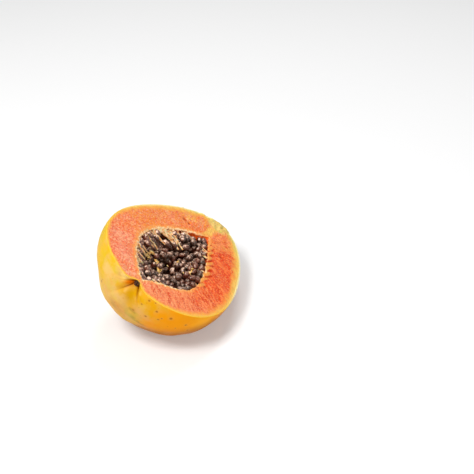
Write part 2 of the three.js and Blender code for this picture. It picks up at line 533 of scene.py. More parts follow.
@dataclass(frozen=True)
class SkinFinish:
    """Waxy ripe skin: a yellow side, an orange side, a golden blossom end and brown flecks. Painted light on
    it: beige patches that are partly a painted sheen, painted shade towards the bottom, in the blossom end's
    hollows and creases and round its scar, and a painted highlight on a bulge by the first crease.
    """

    effects: SharedEffects
    up: Point
    yellow: Colour = tint("e6b416")
    golden: Colour = tint("dca010")
    orange: Colour = tint("ee9600")
    shaded: Colour = tint("a4621a")
    # Beige: partly the skin's paler mottling and partly a painted sheen of the wax.
    pale: Colour = tint("e2ba74")
    green: Colour = tint("9a8c38")
    lime: Colour = tint("d2bc34")
    blush: Colour = tint("e2a45c")
    # The next three colours are painted shade: deeper golden in the blossom end's hollows, orange-red in the
    # wedge between the first two creases, dark brown along the crease lines and round the scar.
    hollow: Colour = tint("cc9402")
    wedge_shade: Colour = tint("dc6404")
    crease: Colour = tint("8e4006")
    fleck: Colour = tint("8a3604")
    halo: Colour = tint("dc9c50")
    gloss: Gloss = Gloss(
        roughness=0.42,
        under_light=0.06,
        under_radius=(1.0, 0.5, 0.1),
        specular=0.05,
        specular_tint=tint("ffd050"),
    )
    # Where the beige, partly a painted sheen, is most.
    beige_and_sheen_middle: Point = (-78.0, 8.0, -40.0)
    clouds: tuple[Cloud, ...] = (
        Cloud(-77, 38, -26, 17, 0.6, "e8b600"),
        Cloud(-78, 46, -10, 13, 0.6, "e8ba00"),
        Cloud(-56, 56, -4, 15, 0.7, "d8b800"),
        # This beige cloud along the cut's edge is a painted sheen of the wax.
        Cloud(-87, 29, -14, 10, 0.55, "eec284"),
        Cloud(-92, 21.5, -6, 5, 0.5, "e0c23c"),
        Cloud(-87, 19, -26, 7, 0.5, "d4bc48"),
        Cloud(-89.5, 10.5, -26, 7, 0.6, "e2b468"),
        Cloud(-90.5, 2, -26, 8, 0.6, "dcb070"),
        Cloud(-83.5, 1, -39, 12, 0.7, "cf8830"),
        Cloud(-88.5, -4, -29, 5, 0.5, "c8a060"),
        Cloud(-94.5, 3.7, -11.4, 4, 0.6, "f2c470"),
        # These two cream clouds are a painted highlight on the bulge between the cut's edge and the first
        # crease.
        Cloud(-92, 7.6, -2.2, 3.4, 0.8, "fcd878"),
        Cloud(-93.8, 12, -3.4, 4.4, 0.7, "fad27c"),
        Cloud(-94.5, -11, -1, 6.5, 0.7, "e0a40a"),
        Cloud(-92.8, -19, -2.4, 8, 0.6, "e6a20a"),
        Cloud(-95, -7.6, -4.3, 2.6, 0.7, "f0bc60"),
        Cloud(-89, -19, -20, 6, 0.5, "dca864"),
        Cloud(-86, -26, -23, 5, 0.5, "dca05c"),
        Cloud(-74, -32, -36, 14, 0.6, "e88804"),
        Cloud(-68, -44, -32, 12, 0.5, "ec9204"),
        Cloud(-50, -61, -8, 15, 0.6, "f6ac0c"),
        Cloud(-84, -14.5, -31.5, 9, 0.5, "b8a03c"),
        Cloud(-89.2, -9.8, -26.4, 2.8, 0.4, "94702a"),
        Cloud(-88.6, -13, -25.6, 3, 0.45, "94702a"),
        Cloud(-84.5, -11.5, -34, 4.8, 0.45, "b0a044"),
        Cloud(-83.2, -16, -34.6, 3.4, 0.45, "94782c"),
        Cloud(-80.6, -20, -36.4, 3.6, 0.45, "94782c"),
        Cloud(-77.6, -24.5, -37.2, 3.8, 0.45, "947a2c"),
        Cloud(-82, 6, -41, 5, 0.4, "c0923c"),
    )
    specks: tuple[Mark, ...] = (
        Mark(-92.8, -18.9, -3.1, 1.3),
        Mark(-90.9, -24.3, -1.6, 0.8),
        Mark(-88.2, -29.4, -8.9, 1.4),
        Mark(-92.8, -15.6, -11.3, 1.1),
        Mark(-87.3, -24.3, -21.1, 1.6),
        Mark(-89.2, -12.2, -24.9, 1.4),
        Mark(-92.2, 0.4, -21.4, 1.0),
        Mark(-83.9, -34.4, -16.7, 1.2),
        Mark(-83.6, -36.2, -13.5, 0.9),
        Mark(-80.0, -42.0, -9.1, 1.7),
        Mark(-66.4, -54.2, -11.9, 1.3),
        Mark(-58.7, -57.4, -19.5, 1.4),
        Mark(-70.7, -49.3, -19.0, 0.7),
        Mark(-80.4, -21.8, -34.9, 0.9),
        Mark(-77.5, 28.5, -34.2, 1.7),
        Mark(-80.5, 28.0, -30.5, 1.0),
        Mark(-30.0, -30.0, -55.0, 1.3),
        Mark(15.0, 22.0, -54.0, 1.2),
        Mark(30.0, -42.0, -28.0, 1.0),
    )

    def material(self) -> Material:
        """Builds the material, which reads the attribute place and three masks of painted shade: along the
        creases, in the hollows and in the wedge between the first two creases.
        """
        paint = Paint("ripe skin", self.gloss, self.effects)
        medium = paint.patch(0.09, 0.42, 0.64)
        leaning = paint.sum("MULTIPLY_ADD", paint.patch(0.035, 0.35, 0.65), 14.0, paint.y)
        paint.colour = paint.blend(paint.rise(leaning, 8.0, 48.0), self.golden, self.yellow)
        paint.lay(self.orange, paint.rise(leaning, -6.0, -36.0))
        paint.lay(self.pale, self._beige_and_sheen(paint, medium))
        for scale, mottle in ((0.07, self.lime), (0.085, self.blush)):
            paint.lay(mottle, paint.patch(scale, 0.48, 0.68), paint.rise(paint.y, -50.0, 0.0), 0.5)
        paint.lay(self.green, paint.patch(0.06, 0.5, 0.68), paint.rise(paint.x, 10.0, 90.0), 0.7)
        paint.lay_clouds(0.22, self.clouds)
        # Painted shade: an olive-brown darkening towards the bottom of the half as it lies.
        height = paint.measure("DOT_PRODUCT", paint.place, self.up)
        paint.lay(self.shaded, paint.rise(height, -25.0, -43.0), 0.85)
        # Painted shade in the hollows, in the wedge and along the creases.
        for name, colour in (("hollow", self.hollow), ("wedge_shade", self.wedge_shade), ("crease", self.crease)):
            paint.lay(colour, paint.attribute(name))
        self._lay_flecks(paint)
        return paint.finished(0.9, 0.2, 0.0002, paint.between(medium, 0.38, 0.52))

    def _beige_and_sheen(self, paint: Paint, medium: Socket) -> Socket:
        """Gives the share of beige: soft patches, partly the skin's paler mottling and partly a painted sheen
        of the wax, with more of them under the blossom end's yellow side.
        """
        patches = paint.times(medium, paint.spread(paint.y, -38.0, 0.0, 0.03, 0.6))
        under = paint.rise(paint.measure("DISTANCE", paint.place, self.beige_and_sheen_middle), 38.0, 12.0)
        return paint.sum("MAXIMUM", patches, paint.times(under, paint.between(medium, 0.35, 0.85)))

    def _lay_flecks(self, paint: Paint) -> None:
        """Lays the brown flecks, each in a pale halo, and fainter pores all over."""
        noise = paint.noise(1.3, 2.0)
        for speck in self.specks:
            off = paint.off(speck, noise)
            paint.lay(self.halo, paint.rise(off, speck.radius * 3.4, speck.radius * 1.4), 0.3)
            paint.lay(self.fleck, paint.rise(off, speck.radius * 2.0, speck.radius * 0.9), 0.75)
        pores = paint.get("ShaderNodeTexVoronoi", {"Vector": paint.place, "Scale": 0.16})
        paint.lay(self.fleck, paint.rise(pores, 0.12, 0.04), 0.3)


@dataclass(frozen=True)
class FleshFinish:
    """Moist ripe flesh on the cut: salmon to red-orange, and paler at the skin and round the cavity, with a
    cream painted highlight on the peel's cut edge towards the stem end.
    """

    effects: SharedEffects
    salmon: Colour = tint("f38655")
    orange: Colour = tint("f79136")
    red: Colour = tint("ee4a12")
    pink: Colour = tint("ea5840")
    deep: Colour = tint("d8340c")
    gap: Colour = tint("c83402")
    wound: Colour = tint("c03408")
    light: Colour = tint("ffc29a")
    warm_light: Colour = tint("ffa870")
    glow: Colour = tint("ff9450")
    peel: Colour = tint("f8c43a")
    # Cream: a painted highlight on the peel's cut edge towards the stem end.
    peel_edge_highlight: Colour = tint("fff0b0")
    under_peel: Colour = tint("f8bc54")
    under_pale_peel: Colour = tint("f8c864")
    inner_peel: Colour = tint("f8a04a")
    inner_pale_peel: Colour = tint("f8ac4c")
    lip: Colour = tint("ffd6a0")
    fringe: Colour = tint("f0a048")
    core: Colour = tint("f6c25c")
    scar: Colour = tint("e8c470")
    green: Colour = tint("c8cc5c")
    reddest: Point = (22.0, -44.0, 0.0)
    grain_shares: tuple[tuple[float, float], ...] = ((0.25, 1.0), (0.8, 0.5), (0.62, 0.88))
    clouds: tuple[Cloud, ...] = (
        Cloud(-89, 13, 0, 12, 0.6, "f8ae6a"),
        Cloud(-70, 33, 0, 9, 0.4, "f69a80"),
        Cloud(-25, 62, 0, 9, 0.4, "f2703c"),
        Cloud(46, 38, 0, 12, 0.35, "f2823e"),
        Cloud(73, 14, 0, 8, 0.6, "faac48"),
        Cloud(64, -7, 0, 9, 0.5, "f9a45c"),
        Cloud(51, -11, 0, 9, 0.95, "f9ac56"),
        Cloud(66, -17, 0, 9, 0.95, "f8a852"),
        Cloud(62, 29, 0, 10, 0.95, "fab850"),
        Cloud(75, -22, 0, 7, 0.95, "fac860"),
        Cloud(30, -24, 0, 8, 0.4, "f6844a"),
        Cloud(20, -44, 0, 13, 0.55, "e8380c"),
        Cloud(44, -30, 0, 9, 0.45, "e83c10"),
        Cloud(-33, -48, 0, 8, 0.3, "ee5a30"),
        Cloud(49, -23.5, 0, 3, 0.8, "e42c04"),
    )
    gloss: Gloss = Gloss(
        coat=0.12,
        coat_roughness=0.16,
        under_light=0.1,
        under_radius=(1.0, 0.35, 0.15),
        under_depth=1.2,
        specular=0.35,
        specular_tint=tint("ffc890"),
    )

    def material(self) -> Material:
        """Builds the material. It reads place, flow, tooth, wound, from_skin and from_cavity."""
        paint = Paint("cut flesh", self.gloss, self.effects)
        paint.colour = paint.blend(paint.rise(paint.x, -60.0, -5.0), self.salmon, self.orange)
        distance = paint.measure("DISTANCE", paint.place, self.reddest)
        uneven = paint.sum("MULTIPLY_ADD", paint.patch(0.05, 0.3, 0.7), 12.0, distance)
        redness = paint.rise(uneven, 96.0, 30.0)
        paint.lay(self.red, redness)
        light = paint.blend(paint.rise(paint.y, 10.0, -20.0), self.light, self.warm_light)
        paint.lay_clouds(0.2, self.clouds)
        self._lay_grain(paint, paint.blend(redness, light, self.glow))
        self._lay_rim(paint)
        self._lay_core(paint)
        self._lay_lip(paint)
        tooth = paint.attribute("tooth")
        paint.lay(self.fringe, paint.rise(tooth, 0.0, 0.5), 0.85)
        paint.lay(self.gap, paint.rise(tooth, -0.02, -0.35), 0.9)
        paint.lay(self.wound, paint.attribute("wound"))
        return paint.finished(0.6, 0.6, 0.0006, paint.between(paint.patch(0.5, 0.35, 0.7, 2.0), 0.5, 0.26))

    def _lay_grain(self, paint: Paint, light: Socket) -> None:
        """Lays light and dark grains, and on the -y side the short fibres that run out from the cavity."""
        flow = paint.attribute("flow", "Vector")
        fibres, pink, pale = (paint.spread(paint.y, 20.0, -15.0, *ends) for ends in self.grain_shares)
        paint.lay(self.deep, paint.patch(0.34, 0.44, 0.64, 2.0, flow), fibres, 0.85)
        paint.lay(light, paint.patch(0.13, 0.5, 0.72, 1.0, flow), 0.45)
        paint.lay(light, paint.patch(0.42, 0.5, 0.66, 2.0, flow), fibres, 0.9)
        paint.lay(self.pink, paint.patch(0.42, 0.44, 0.66, 2.0), pink)
        paint.lay(light, paint.patch(0.56, 0.5, 0.66, 2.0), pale)

    def _lay_rim(self, paint: Paint) -> None:
        """Lays the peel's cut edge and the paler flesh under it, which is wider towards the stem end. Towards
        the stem end the outermost edge is a cream painted highlight.
        """
        width = paint.spread(paint.x, -70.0, 85.0, 3.2, 9.5)
        width = paint.sum("ADD", width, paint.spread(paint.y, 10.0, -40.0, 0.0, 2.5))
        width = paint.times(width, paint.between(paint.patch(0.12, 0.25, 0.75, 2.0), 0.75, 1.3))
        from_skin = paint.attribute("from_skin")
        share = paint.sum("DIVIDE", from_skin, width)
        pale = paint.rise(paint.x, -30.0, 30.0)
        paint.lay(paint.blend(pale, self.inner_peel, self.inner_pale_peel), paint.rise(share, 1.1, 0.55))
        paint.lay(paint.blend(pale, self.under_peel, self.under_pale_peel), paint.rise(share, 0.68, 0.28))
        paint.lay(self.green, paint.rise(paint.x, 66.0, 80.0), paint.rise(share, 0.5, 0.2), 0.5)
        # The outermost edge: the peel's yellow towards the blossom end, turning to a cream painted highlight
        # towards the stem end.
        outer = paint.sum("DIVIDE", from_skin, paint.between(pale, 1.0, 1.5))
        paint.lay(paint.blend(pale, self.peel, self.peel_edge_highlight), paint.rise(outer, 1.8, 0.7))

    def _lay_core(self, paint: Paint) -> None:
        """Lays the pale strand from the cavity to the stalk, and the corky scar that it ends in."""
        off_axis = paint.sum("ABSOLUTE", paint.sum("SUBTRACT", paint.y, 4.0))
        off_axis = paint.sum("MULTIPLY_ADD", paint.patch(0.16, 0.2, 0.8, 2.0), 5.0, off_axis)
        paint.lay(self.core, paint.rise(off_axis, 9.0, 4.0), paint.rise(paint.x, 46.0, 56.0), 0.9)
        scar = paint.times(paint.rise(off_axis, 16.0, 9.0), paint.rise(paint.x, 76.0, 84.0))
        paint.lay(self.scar, scar)
        paint.lay(self.green, scar, paint.patch(0.25, 0.52, 0.66, 2.0), 0.7)

    def _lay_lip(self, paint: Paint) -> None:
        """Lays the pale lip round the cavity, and the paler flesh behind it."""
        wander = paint.patch(0.3, 0.25, 0.75, 2.0)
        near = paint.sum("MULTIPLY_ADD", wander, 2.6, paint.attribute("from_cavity"))
        band = paint.sum("DIVIDE", near, paint.spread(paint.y, -10.0, 20.0, 6.5, 8.5))
        paint.lay(self.inner_peel, paint.rise(band, 1.0, 0.3), 0.85)
        across = paint.sum("MULTIPLY_ADD", paint.x, 0.33, paint.times(paint.y, -1.0))
        toothed = paint.rise(across, 4.0, 16.0)
        paint.lay(self.lip, paint.rise(near, 4.0, 1.6), paint.between(toothed, 1.0, 0.2))


@dataclass(frozen=True)
class LiningFinish:
    """The cavity's moist wall: orange-red, with pale membrane near the cut."""

    effects: SharedEffects
    wall: Colour = tint("d8551f")
    shade: Colour = tint("8e2c10")
    flame: Colour = tint("f0600c")
    membrane: Colour = tint("ffce94")
    gloss: Gloss = Gloss(roughness=0.45, coat=0.1, coat_roughness=0.2, under_light=0.25, specular=0.2)

    def material(self) -> Material:
        """Builds the material, which reads the attribute place."""
        paint = Paint("cavity lining", self.gloss, self.effects)
        patch = paint.patch(0.18, 0.4, 0.62)
        paint.colour = paint.blend(patch, self.shade, self.wall)
        paint.lay(self.flame, paint.spread(paint.x, 34.0, 48.0, 0.0, 0.9))
        edge = paint.sum("ADD", paint.z, paint.spread(paint.x, 8.0, 30.0, 0.0, -2.2))
        paint.lay(self.membrane, paint.rise(paint.sum("MULTIPLY_ADD", patch, 2.5, edge), -2.5, 0.5))
        return paint.finished(0.6, 0.5, 0.0006)


@dataclass(frozen=True)
class SeedFinish:
    """Dark wet seeds in a thin jelly coat. Each seed has a tone of its own and a share of two pale colours,
    partly the jelly's tan and partly painted light: a painted sheen and highlight on the side turned to one
    fixed way.
    """

    effects: SharedEffects
    dark: Colour = tint("1c0502")
    brown: Colour = tint("662818")
    # Two pale colours: partly the jelly's own tan, and partly a painted sheen and a painted highlight.
    gel_film_and_sheen: Colour = tint("ae7e68")
    gel_and_highlight: Colour = tint("fbd8be")
    gloss: Gloss = Gloss(
        coat=0.6,
        coat_roughness=0.2,
        coat_refraction=1.7,
        specular=0.8,
        specular_tint=tint("ffcea6"),
        refraction=1.5,
    )

    def material(self) -> Material:
        """Builds the material. It reads the attributes place and tone, each seed's share of jelly tan and
        painted highlight, and how far each point turns to the painted light's way.
        """
        paint = Paint("wet seed", self.gloss, self.effects)
        paint.colour = paint.blend(paint.sum("POWER", paint.attribute("tone"), 2.0), self.dark, self.brown)
        gel_film_and_sheen = paint.patch(0.42, 0.36, 0.64, 2.0)
        # Painted light: the pale colours are laid where the jelly's noise and the turn to one fixed way add
        # up, a painted sheen on each seed's upper side and a painted highlight at its top.
        lit = paint.sum("MULTIPLY_ADD", gel_film_and_sheen, 0.6, paint.times(paint.attribute("light_facing"), 0.7))
        gel_and_highlight = paint.attribute("gel_and_highlight")
        paint.lay(self.gel_film_and_sheen, paint.rise(lit, 0.52, 1.0), gel_and_highlight)
        paint.lay(self.gel_and_highlight, paint.rise(lit, 0.86, 1.14), gel_and_highlight)
        return paint.finished(1.0, 0.75, 0.0007, paint.between(gel_film_and_sheen, 0.34, 0.5))


@dataclass(frozen=True)
class PlainFinish:
    """A finish of two colours in patches, for the small pieces."""

    name: str
    first: Colour
    second: Colour
    patch_scale: float
    gloss: Gloss

    def material(self, effects: SharedEffects) -> Material:
        """Builds the material, which reads the attribute place."""
        paint = Paint(self.name, self.gloss, effects)
        paint.colour = paint.blend(paint.patch(self.patch_scale, 0.38, 0.62), self.first, self.second)
        return paint.finished(0.8, 0.4, 0.0004)


# -----------------------------------------------------------------------------
# Meshes


def stand(name: str, data: bpy.types.ID) -> Object:
    """Makes an object of a mesh, a light or a camera, and links it to the scene."""
    thing = bpy.data.objects.new(name, data)
    bpy.context.scene.collection.objects.link(thing)
    return thing


def add_layer(mesh: bpy.types.Mesh, name: str, values: Array) -> None:
    """Gives each point of a mesh an attribute: a number or a vector."""
    kind, member = ("FLOAT_VECTOR", "vector") if values.ndim == 2 else ("FLOAT", "value")
    layer = mesh.attributes.get(name) or mesh.attributes.new(name, kind, "POINT")
    layer.data.foreach_set(member, np.ascontiguousarray(values, np.float32).ravel())


def store_places(piece: Object, lie: Lie) -> None:
    """Stores each point's place in the fruit's frame as the attribute place."""
    flat = np.zeros(len(piece.data.vertices) * 3, np.float32)
    piece.data.vertices.foreach_get("co", flat)
    add_layer(piece.data, "place", (flat.reshape(-1, 3) / METRES - lie.origin) @ lie.turn())


@dataclass
class MeshDraft:
    """Points and faces that become one mesh."""

    lie: Lie
    points: list[Array] = field(default_factory=list)
    faces: list[tuple[int, ...]] = field(default_factory=list)
    slots: list[int] = field(default_factory=list)
    count: int = 0

    def add_points(self, points: Array) -> Array:
        """Adds points of the fruit's frame, and gives their numbers."""
        points = np.asarray(points, float).reshape(-1, 3)
        self.points.append(points)
        numbers = np.arange(self.count, self.count + len(points))
        self.count += len(points)
        return numbers

    def join(self, rows: list[Array], slot: int = 0, closed: bool = False) -> None:
        """Joins each row of points to the next with faces.

        Args:
            rows: Rows of point numbers, all as long. At a pole a row repeats one number.
            slot: The material slot.
            closed: Whether the rows' ends are joined too.
        """
        for first, second in zip(rows, rows[1:]):
            for k in range(len(first) if closed else len(first) - 1):
                n = (k + 1) % len(first)
                corners = [int(first[k]), int(first[n]), int(second[n]), int(second[k])]
                face = tuple(c for i, c in enumerate(corners) if c != corners[i - 1])
                if len(face) > 2:
                    self.faces.append(face)
                    self.slots.append(slot)

    def build(
        self, name: str, materials: list[Material], attributes: dict[str, Array] | None = None
    ) -> Object:
        """Makes the object, smooth, with its faces outwards and its points' places kept as an attribute.

        Args:
            name: The object's name.
            materials: One material for each slot.
            attributes: More values for each point, by name: a number or a vector each.

        Returns:
            The object, at the origin.
        """
        local = np.concatenate(self.points)
        mesh = bpy.data.meshes.new(name)
        mesh.from_pydata((self.lie.placed(local) * METRES).tolist(), [], self.faces)
        for key, values in {"place": local, **(attributes or {})}.items():
            add_layer(mesh, key, values)
        for material in materials:
            mesh.materials.append(material)
        mesh.polygons.foreach_set("material_index", self.slots)
        mesh.polygons.foreach_set("use_smooth", [True] * len(self.faces))
        work = bmesh.new()
        work.from_mesh(mesh)
        bmesh.ops.recalc_face_normals(work, faces=work.faces)
        work.to_mesh(mesh)
        work.free()
        return stand(name, mesh)


def hand_over(piece: Object, replaced: str | None = None) -> Object:
    """Gives a finished piece to the frame.

    Args:
        piece: The piece.
        replaced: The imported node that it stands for, if any.

    Returns:
        The piece.
    """
    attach(piece, BODY)
    if replaced:
        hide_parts(replaced)
    LOG.info("%s: %d faces", piece.name, len(piece.data.polygons))
    return piece


class GrowthTree:
    """A Geometry Nodes tree with named inputs, which ends in Realize Instances and Set Material."""

    def __init__(self, name: str, sizes: dict[str, float]) -> None:
        """Makes the tree with a geometry input and output, and an input for each size.

        Args:
            name: The tree's name.
            sizes: Input name to its value.
        """
        self.sizes = dict(sizes)
        inputs = {"Geometry": "Geometry", **dict.fromkeys(sizes, "Float")}
        self.wire, self.given, self.leave = start_group(name, "Geometry", inputs, ("Geometry", "Geometry"))

    def named(self, name: str, kind: str) -> Socket:
        """Reads a named attribute of the geometry."""
        node = self.wire.add("GeometryNodeInputNamedAttribute", {"Name": name}, data_type=kind)
        return next(socket for socket in node.outputs if socket.enabled and socket.name == "Attribute")

    def end(self, geometry: Socket, material: Material) -> None:
        """Shades the geometry smooth, realizes the instances, sets the material and leaves the tree."""
        smooth = self.wire.get("GeometryNodeSetShadeSmooth", {"Geometry": geometry})
        real = self.wire.get("GeometryNodeRealizeInstances", {"Geometry": smooth})
        dressed = self.wire.get("GeometryNodeSetMaterial", {"Geometry": real, "Material": material})
        self.wire.feed(self.leave, dressed)

    def grow(self, piece: Object, lie: Lie) -> Object:
        """Runs the tree on a piece, keeps the result as its plain mesh and stores its points' places.

        Args:
            piece: An object whose mesh holds the starting points or lines.
            lie: The way the half lies.

        Returns:
            The same object, with no modifier left on it.
        """
        modifier = piece.modifiers.new(self.wire.tree.name, "NODES")
        modifier.node_group = self.wire.tree
        for item in self.wire.tree.interface.items_tree:
            if item.in_out == "INPUT" and item.name in self.sizes:
                modifier[item.identifier] = float(self.sizes[item.name])
        graph = bpy.context.evaluated_depsgraph_get()
        grown = bpy.data.meshes.new_from_object(piece.evaluated_get(graph))
        piece.modifiers.remove(modifier)
        grown.name = piece.name
        piece.data = grown
        store_places(piece, lie)
        return piece


@dataclass
class Piece:
    """What every piece is built from."""

    form: FruitForm
    lie: Lie
    effects: SharedEffects
    heap: SeedHeap


# -----------------------------------------------------------------------------
# The flesh and its skin


@dataclass(frozen=True)
class Hollow:
    """A round hollow: a gouge in the cut flesh, or a place in the heap where seeds are missing."""

    x: float
    y: float
    radius: float
    depth: float

    def off(self, points: Array) -> Array:
        """Gives each point's distance from its middle as a share of its radius."""
        return np.hypot(points[..., 0] - self.x, points[..., 1] - self.y) / self.radius

    def at(self, points: Array) -> Array:
        """Gives how deep it is at each point."""
        return self.depth * bell(self.off(points))


@dataclass(frozen=True)
class Fold:
    """A ridge between the creases, or with a height below 0 a hollow, which may be deeper in colour: painted
    shade laid in the hollow.
    """

    degrees: float
    distance: float
    height: float
    across: float
    along: float
    colour: float = 0.0

    def share(self, angle: Array, distance: Array) -> Array:
        """Gives the share of its height at an angle round the axis and a distance from it."""
        off = (angle - math.radians(self.degrees)) * distance / self.across
        return np.exp(-(off**2) - ((distance - self.distance) / self.along) ** 2)


@dataclass
class FleshAndSkin(Piece):
    """The half itself: skin, cut flesh and cavity wall in one closed mesh."""

    blossom_end: float = -60.0
    fibre_stretch: float = 0.35
    wound_start: float = 0.35
    along_steps: int = 300
    round_steps: int = 104
    face_steps: int = 54
    wall_steps: int = 36
    rim_inset: float = 0.3
    rim_drop: float = 0.4
    edge_drop: float = 0.1
    rim_round: float = 0.6
    lip_drop: float = 0.6
    lip_round: float = 1.1
    skin_ripples: tuple[Ripple, ...] = (Ripple(26.0, 3, 0.4), Ripple(9.0, 4, 0.08))
    wall_ripples: tuple[Ripple, ...] = (Ripple(9.0, 5, 0.35), Ripple(3.0, 6, 0.3))
    knife_waves: Ripple = Ripple(34.0, 11, 0.25)
    grain: tuple[Ripple, ...] = (Ripple(3.4, 12, 0.15, 40), Ripple(2.2, 13, 0.12, 40))
    tears: Ripple = Ripple(6.0, 14, 0.4)
    pole_calm: float = 20.0
    pole_depth: float = 1.5
    pole_radius: float = 6.0
    tooth_pitch: float = 6.6
    tooth_start: float = -1.05
    tooth_way: tuple[float, float] = (0.38, 0.93)
    tooth_wander: Ripple = Ripple(14.0, 18, 0.55)
    tooth_unevenness: Ripple = Ripple(8.0, 21, 0.4)
    tooth_bite: float = 1.1
    bite_angle: float = 0.2
    least_reach: float = 8.0
    gap_length: float = 5.4
    gap_depth: float = 1.4
    ridge_length: float = 7.5
    ridge_height: float = 0.6
    stalk: tuple[float, float] = (89.0, 2.0)
    stalk_radii: tuple[float, float] = (7.0, 9.0)
    stalk_height: float = 0.9
    stalk_lumps: Ripple = Ripple(5.5, 17, 0.8)
    creases: tuple[Crease, ...] = (
        Crease(32, 0.7, 4.5, 0.7),
        Crease(63, 1.3, 5.5, 0.8),
        Crease(129, 1.4, 4.5, 0.55),
    )
    folds: tuple[Fold, ...] = (
        Fold(8, 9, 0.5, 3.0, 8.0),
        Fold(44, 7, -1.2, 3.0, 6.5, 1.0),
        Fold(76, 12, 0.6, 2.4, 7.0),
        Fold(103, 14, -0.5, 5.5, 10.0, 1.0),
        Fold(146, 9, 0.7, 2.4, 8.0),
    )
    # The wedge between the first two creases, where orange-red painted shade is laid on the skin.
    wedge_shade: Fold = Fold(43, 7, 0.0, 2.7, 4.5)
    dents: tuple[Hollow, ...] = (
        Hollow(52.5, 28.3, 2.6, 1.6),
        Hollow(52.3, 22.6, 2.2, 1.4),
        Hollow(59.5, 24.2, 1.8, 1.1),
        Hollow(47.0, -24.0, 3.0, 1.2),
    )

    def build(self) -> Object:
        """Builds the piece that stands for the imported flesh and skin."""
        draft = MeshDraft(self.lie)
        outline, edge = self._skin(draft)
        inner, wall = self._wall_points()
        rings, distances = self._face_rings(outline, inner)
        numbers = [draft.add_points(ring) for ring in rings]
        draft.join([edge, *numbers], 1, closed=True)
        self._add_wall(draft, numbers[-1], wall)
        attributes = self._attributes(draft, numbers, rings, distances)
        skin = SkinFinish(self.effects, tuple(self.lie.turn()[2]))
        finishes = (skin, FleshFinish(self.effects), LiningFinish(self.effects))
        materials = [finish.material() for finish in finishes]
        piece = draft.build("papaya_flesh_and_skin", materials, attributes)
        return hand_over(piece, "flesh_and_skin")

    @staticmethod
    def _loop(grid: Array) -> Array:
        """Gives the closed loop of a grid's first column and its last."""
        return np.concatenate([grid[:-1, 0], grid[:0:-1, -1]])

    def _skin(self, draft: MeshDraft) -> tuple[Array, Array]:
        """Adds the skin.

        Args:
            draft: The mesh so far.

        Returns:
            The cut's outline as a closed loop of points, and the numbers of the skin's points along it.
        """
        angle = np.linspace(0, math.pi, self.round_steps + 1)
        along, around = np.meshgrid(np.linspace(0, 1, self.along_steps + 1), angle, indexing="ij")
        grid = self.form.skin(along, around)
        distance = np.hypot(grid[..., 1], grid[..., 2])
        grid[..., 0] += np.where(grid[..., 0] < 0, self._blossom_relief(around, distance), 0)
        outline = self._loop(grid)
        swell = sum(ripple.at(grid) for ripple in self.skin_ripples)
        fade = np.sin(around) * np.minimum(distance / self.pole_calm, 1)
        outward = grid / np.maximum(np.linalg.norm(grid, axis=-1, keepdims=True), 1)
        grid += outward * (swell * fade)[..., None]
        for side in (grid[:, 0], grid[:, -1], grid[0], grid[-1]):
            side[:, 2] = np.minimum(side[:, 2], -self.rim_drop)
        grid = self._pressed_flat(grid)
        rows = [np.repeat(draft.add_points(grid[0, 0]), len(angle))]
        rows += [draft.add_points(row) for row in grid[1:-1]]
        rows.append(np.repeat(draft.add_points(grid[-1, 0]), len(angle)))
        draft.join(rows)
        return outline, self._loop(np.array(rows))

    def _blossom_relief(self, angle: Array, distance: Array) -> Array:
        """Gives how far the sharp creases and the folds between them move the skin inwards."""
        relief = self.pole_depth * bell(distance / self.pole_radius)
        for crease in self.creases:
            relief += crease.depth * crease.share(angle, distance)
        for fold in self.folds:
            relief -= fold.height * fold.share(angle, distance)
        return relief

    def _pressed_flat(self, points: Array) -> Array:
        """Presses the skin flat where it rests."""
        placed = self.lie.placed(points)
        placed[..., 2] = np.maximum(placed[..., 2], 0)
        return (placed - self.lie.origin) @ self.lie.turn()

    def _wall_points(self) -> tuple[Array, Array]:
        """Works out the cavity's wall.

        Returns:
            Its edge at the cut as a closed loop, and the wall's points in rows from the blossom end.
        """
        turn = math.pi * np.linspace(0, 1, self.along_steps + 1)
        middle = (self.form.cavity_start + self.form.cavity_end) / 2
        x = middle - (self.form.cavity_end - self.form.cavity_start) / 2 * np.cos(turn)
        angle = np.linspace(0, math.pi, self.wall_steps + 1)
        grid = self.form.cavity(*np.meshgrid(x, angle, indexing="ij"))
        reach = np.hypot(grid[..., 1], grid[..., 2])
        rough = sum(ripple.at(grid) for ripple in self.wall_ripples)
        wave, there = self._teeth_at(grid[:, -1])
        bite = -self.tooth_bite * (wave * there)[:, None] * bell((math.pi - angle) / self.bite_angle)
        grid[..., 1:] *= (1 + (rough + bite) / np.maximum(reach, self.least_reach))[..., None]
        loop = self._loop(grid)
        grid[..., 2] -= self.lip_drop
        return loop, grid

    def _face_rings(self, outline: Array, inner: Array) -> tuple[list[Array], Array]:
        """Works out the cut face, ring by ring from the skin to the cavity.

        Args:
            outline: The cut's outer loop.
            inner: The cavity's edge.

        Returns:
            The rings, and for each point its distances from the skin and from the cavity.
        """
        share = np.linspace(0, 1, self.face_steps + 1)
        share = (share + (1 - np.cos(math.pi * share)) / 2) / 2
        across = np.linalg.norm(inner - outline, axis=1, keepdims=True)
        start = outline + (inner - outline) * self.rim_inset / across
        flat = np.stack([start + (inner - start) * t for t in share])
        from_skin, from_cavity = self._distance(flat, outline), self._distance(flat, inner)
        ridge, gap = self._teeth(flat, from_cavity)
        height = self._relief(flat, from_skin, from_cavity)
        flat[..., 2] = height + self.ridge_height * ridge - self.gap_depth * gap
        return list(flat), np.stack([from_skin, from_cavity])

    @staticmethod
    def _distance(points: Array, loop: Array) -> Array:
        """Gives each point's distance from the nearest point of a loop, seen from above the cut."""
        offs = (row[:, None, :2] - loop[None, ::2, :2] for row in points)
        return np.stack([np.sqrt((off**2).sum(-1)).min(1) for off in offs])

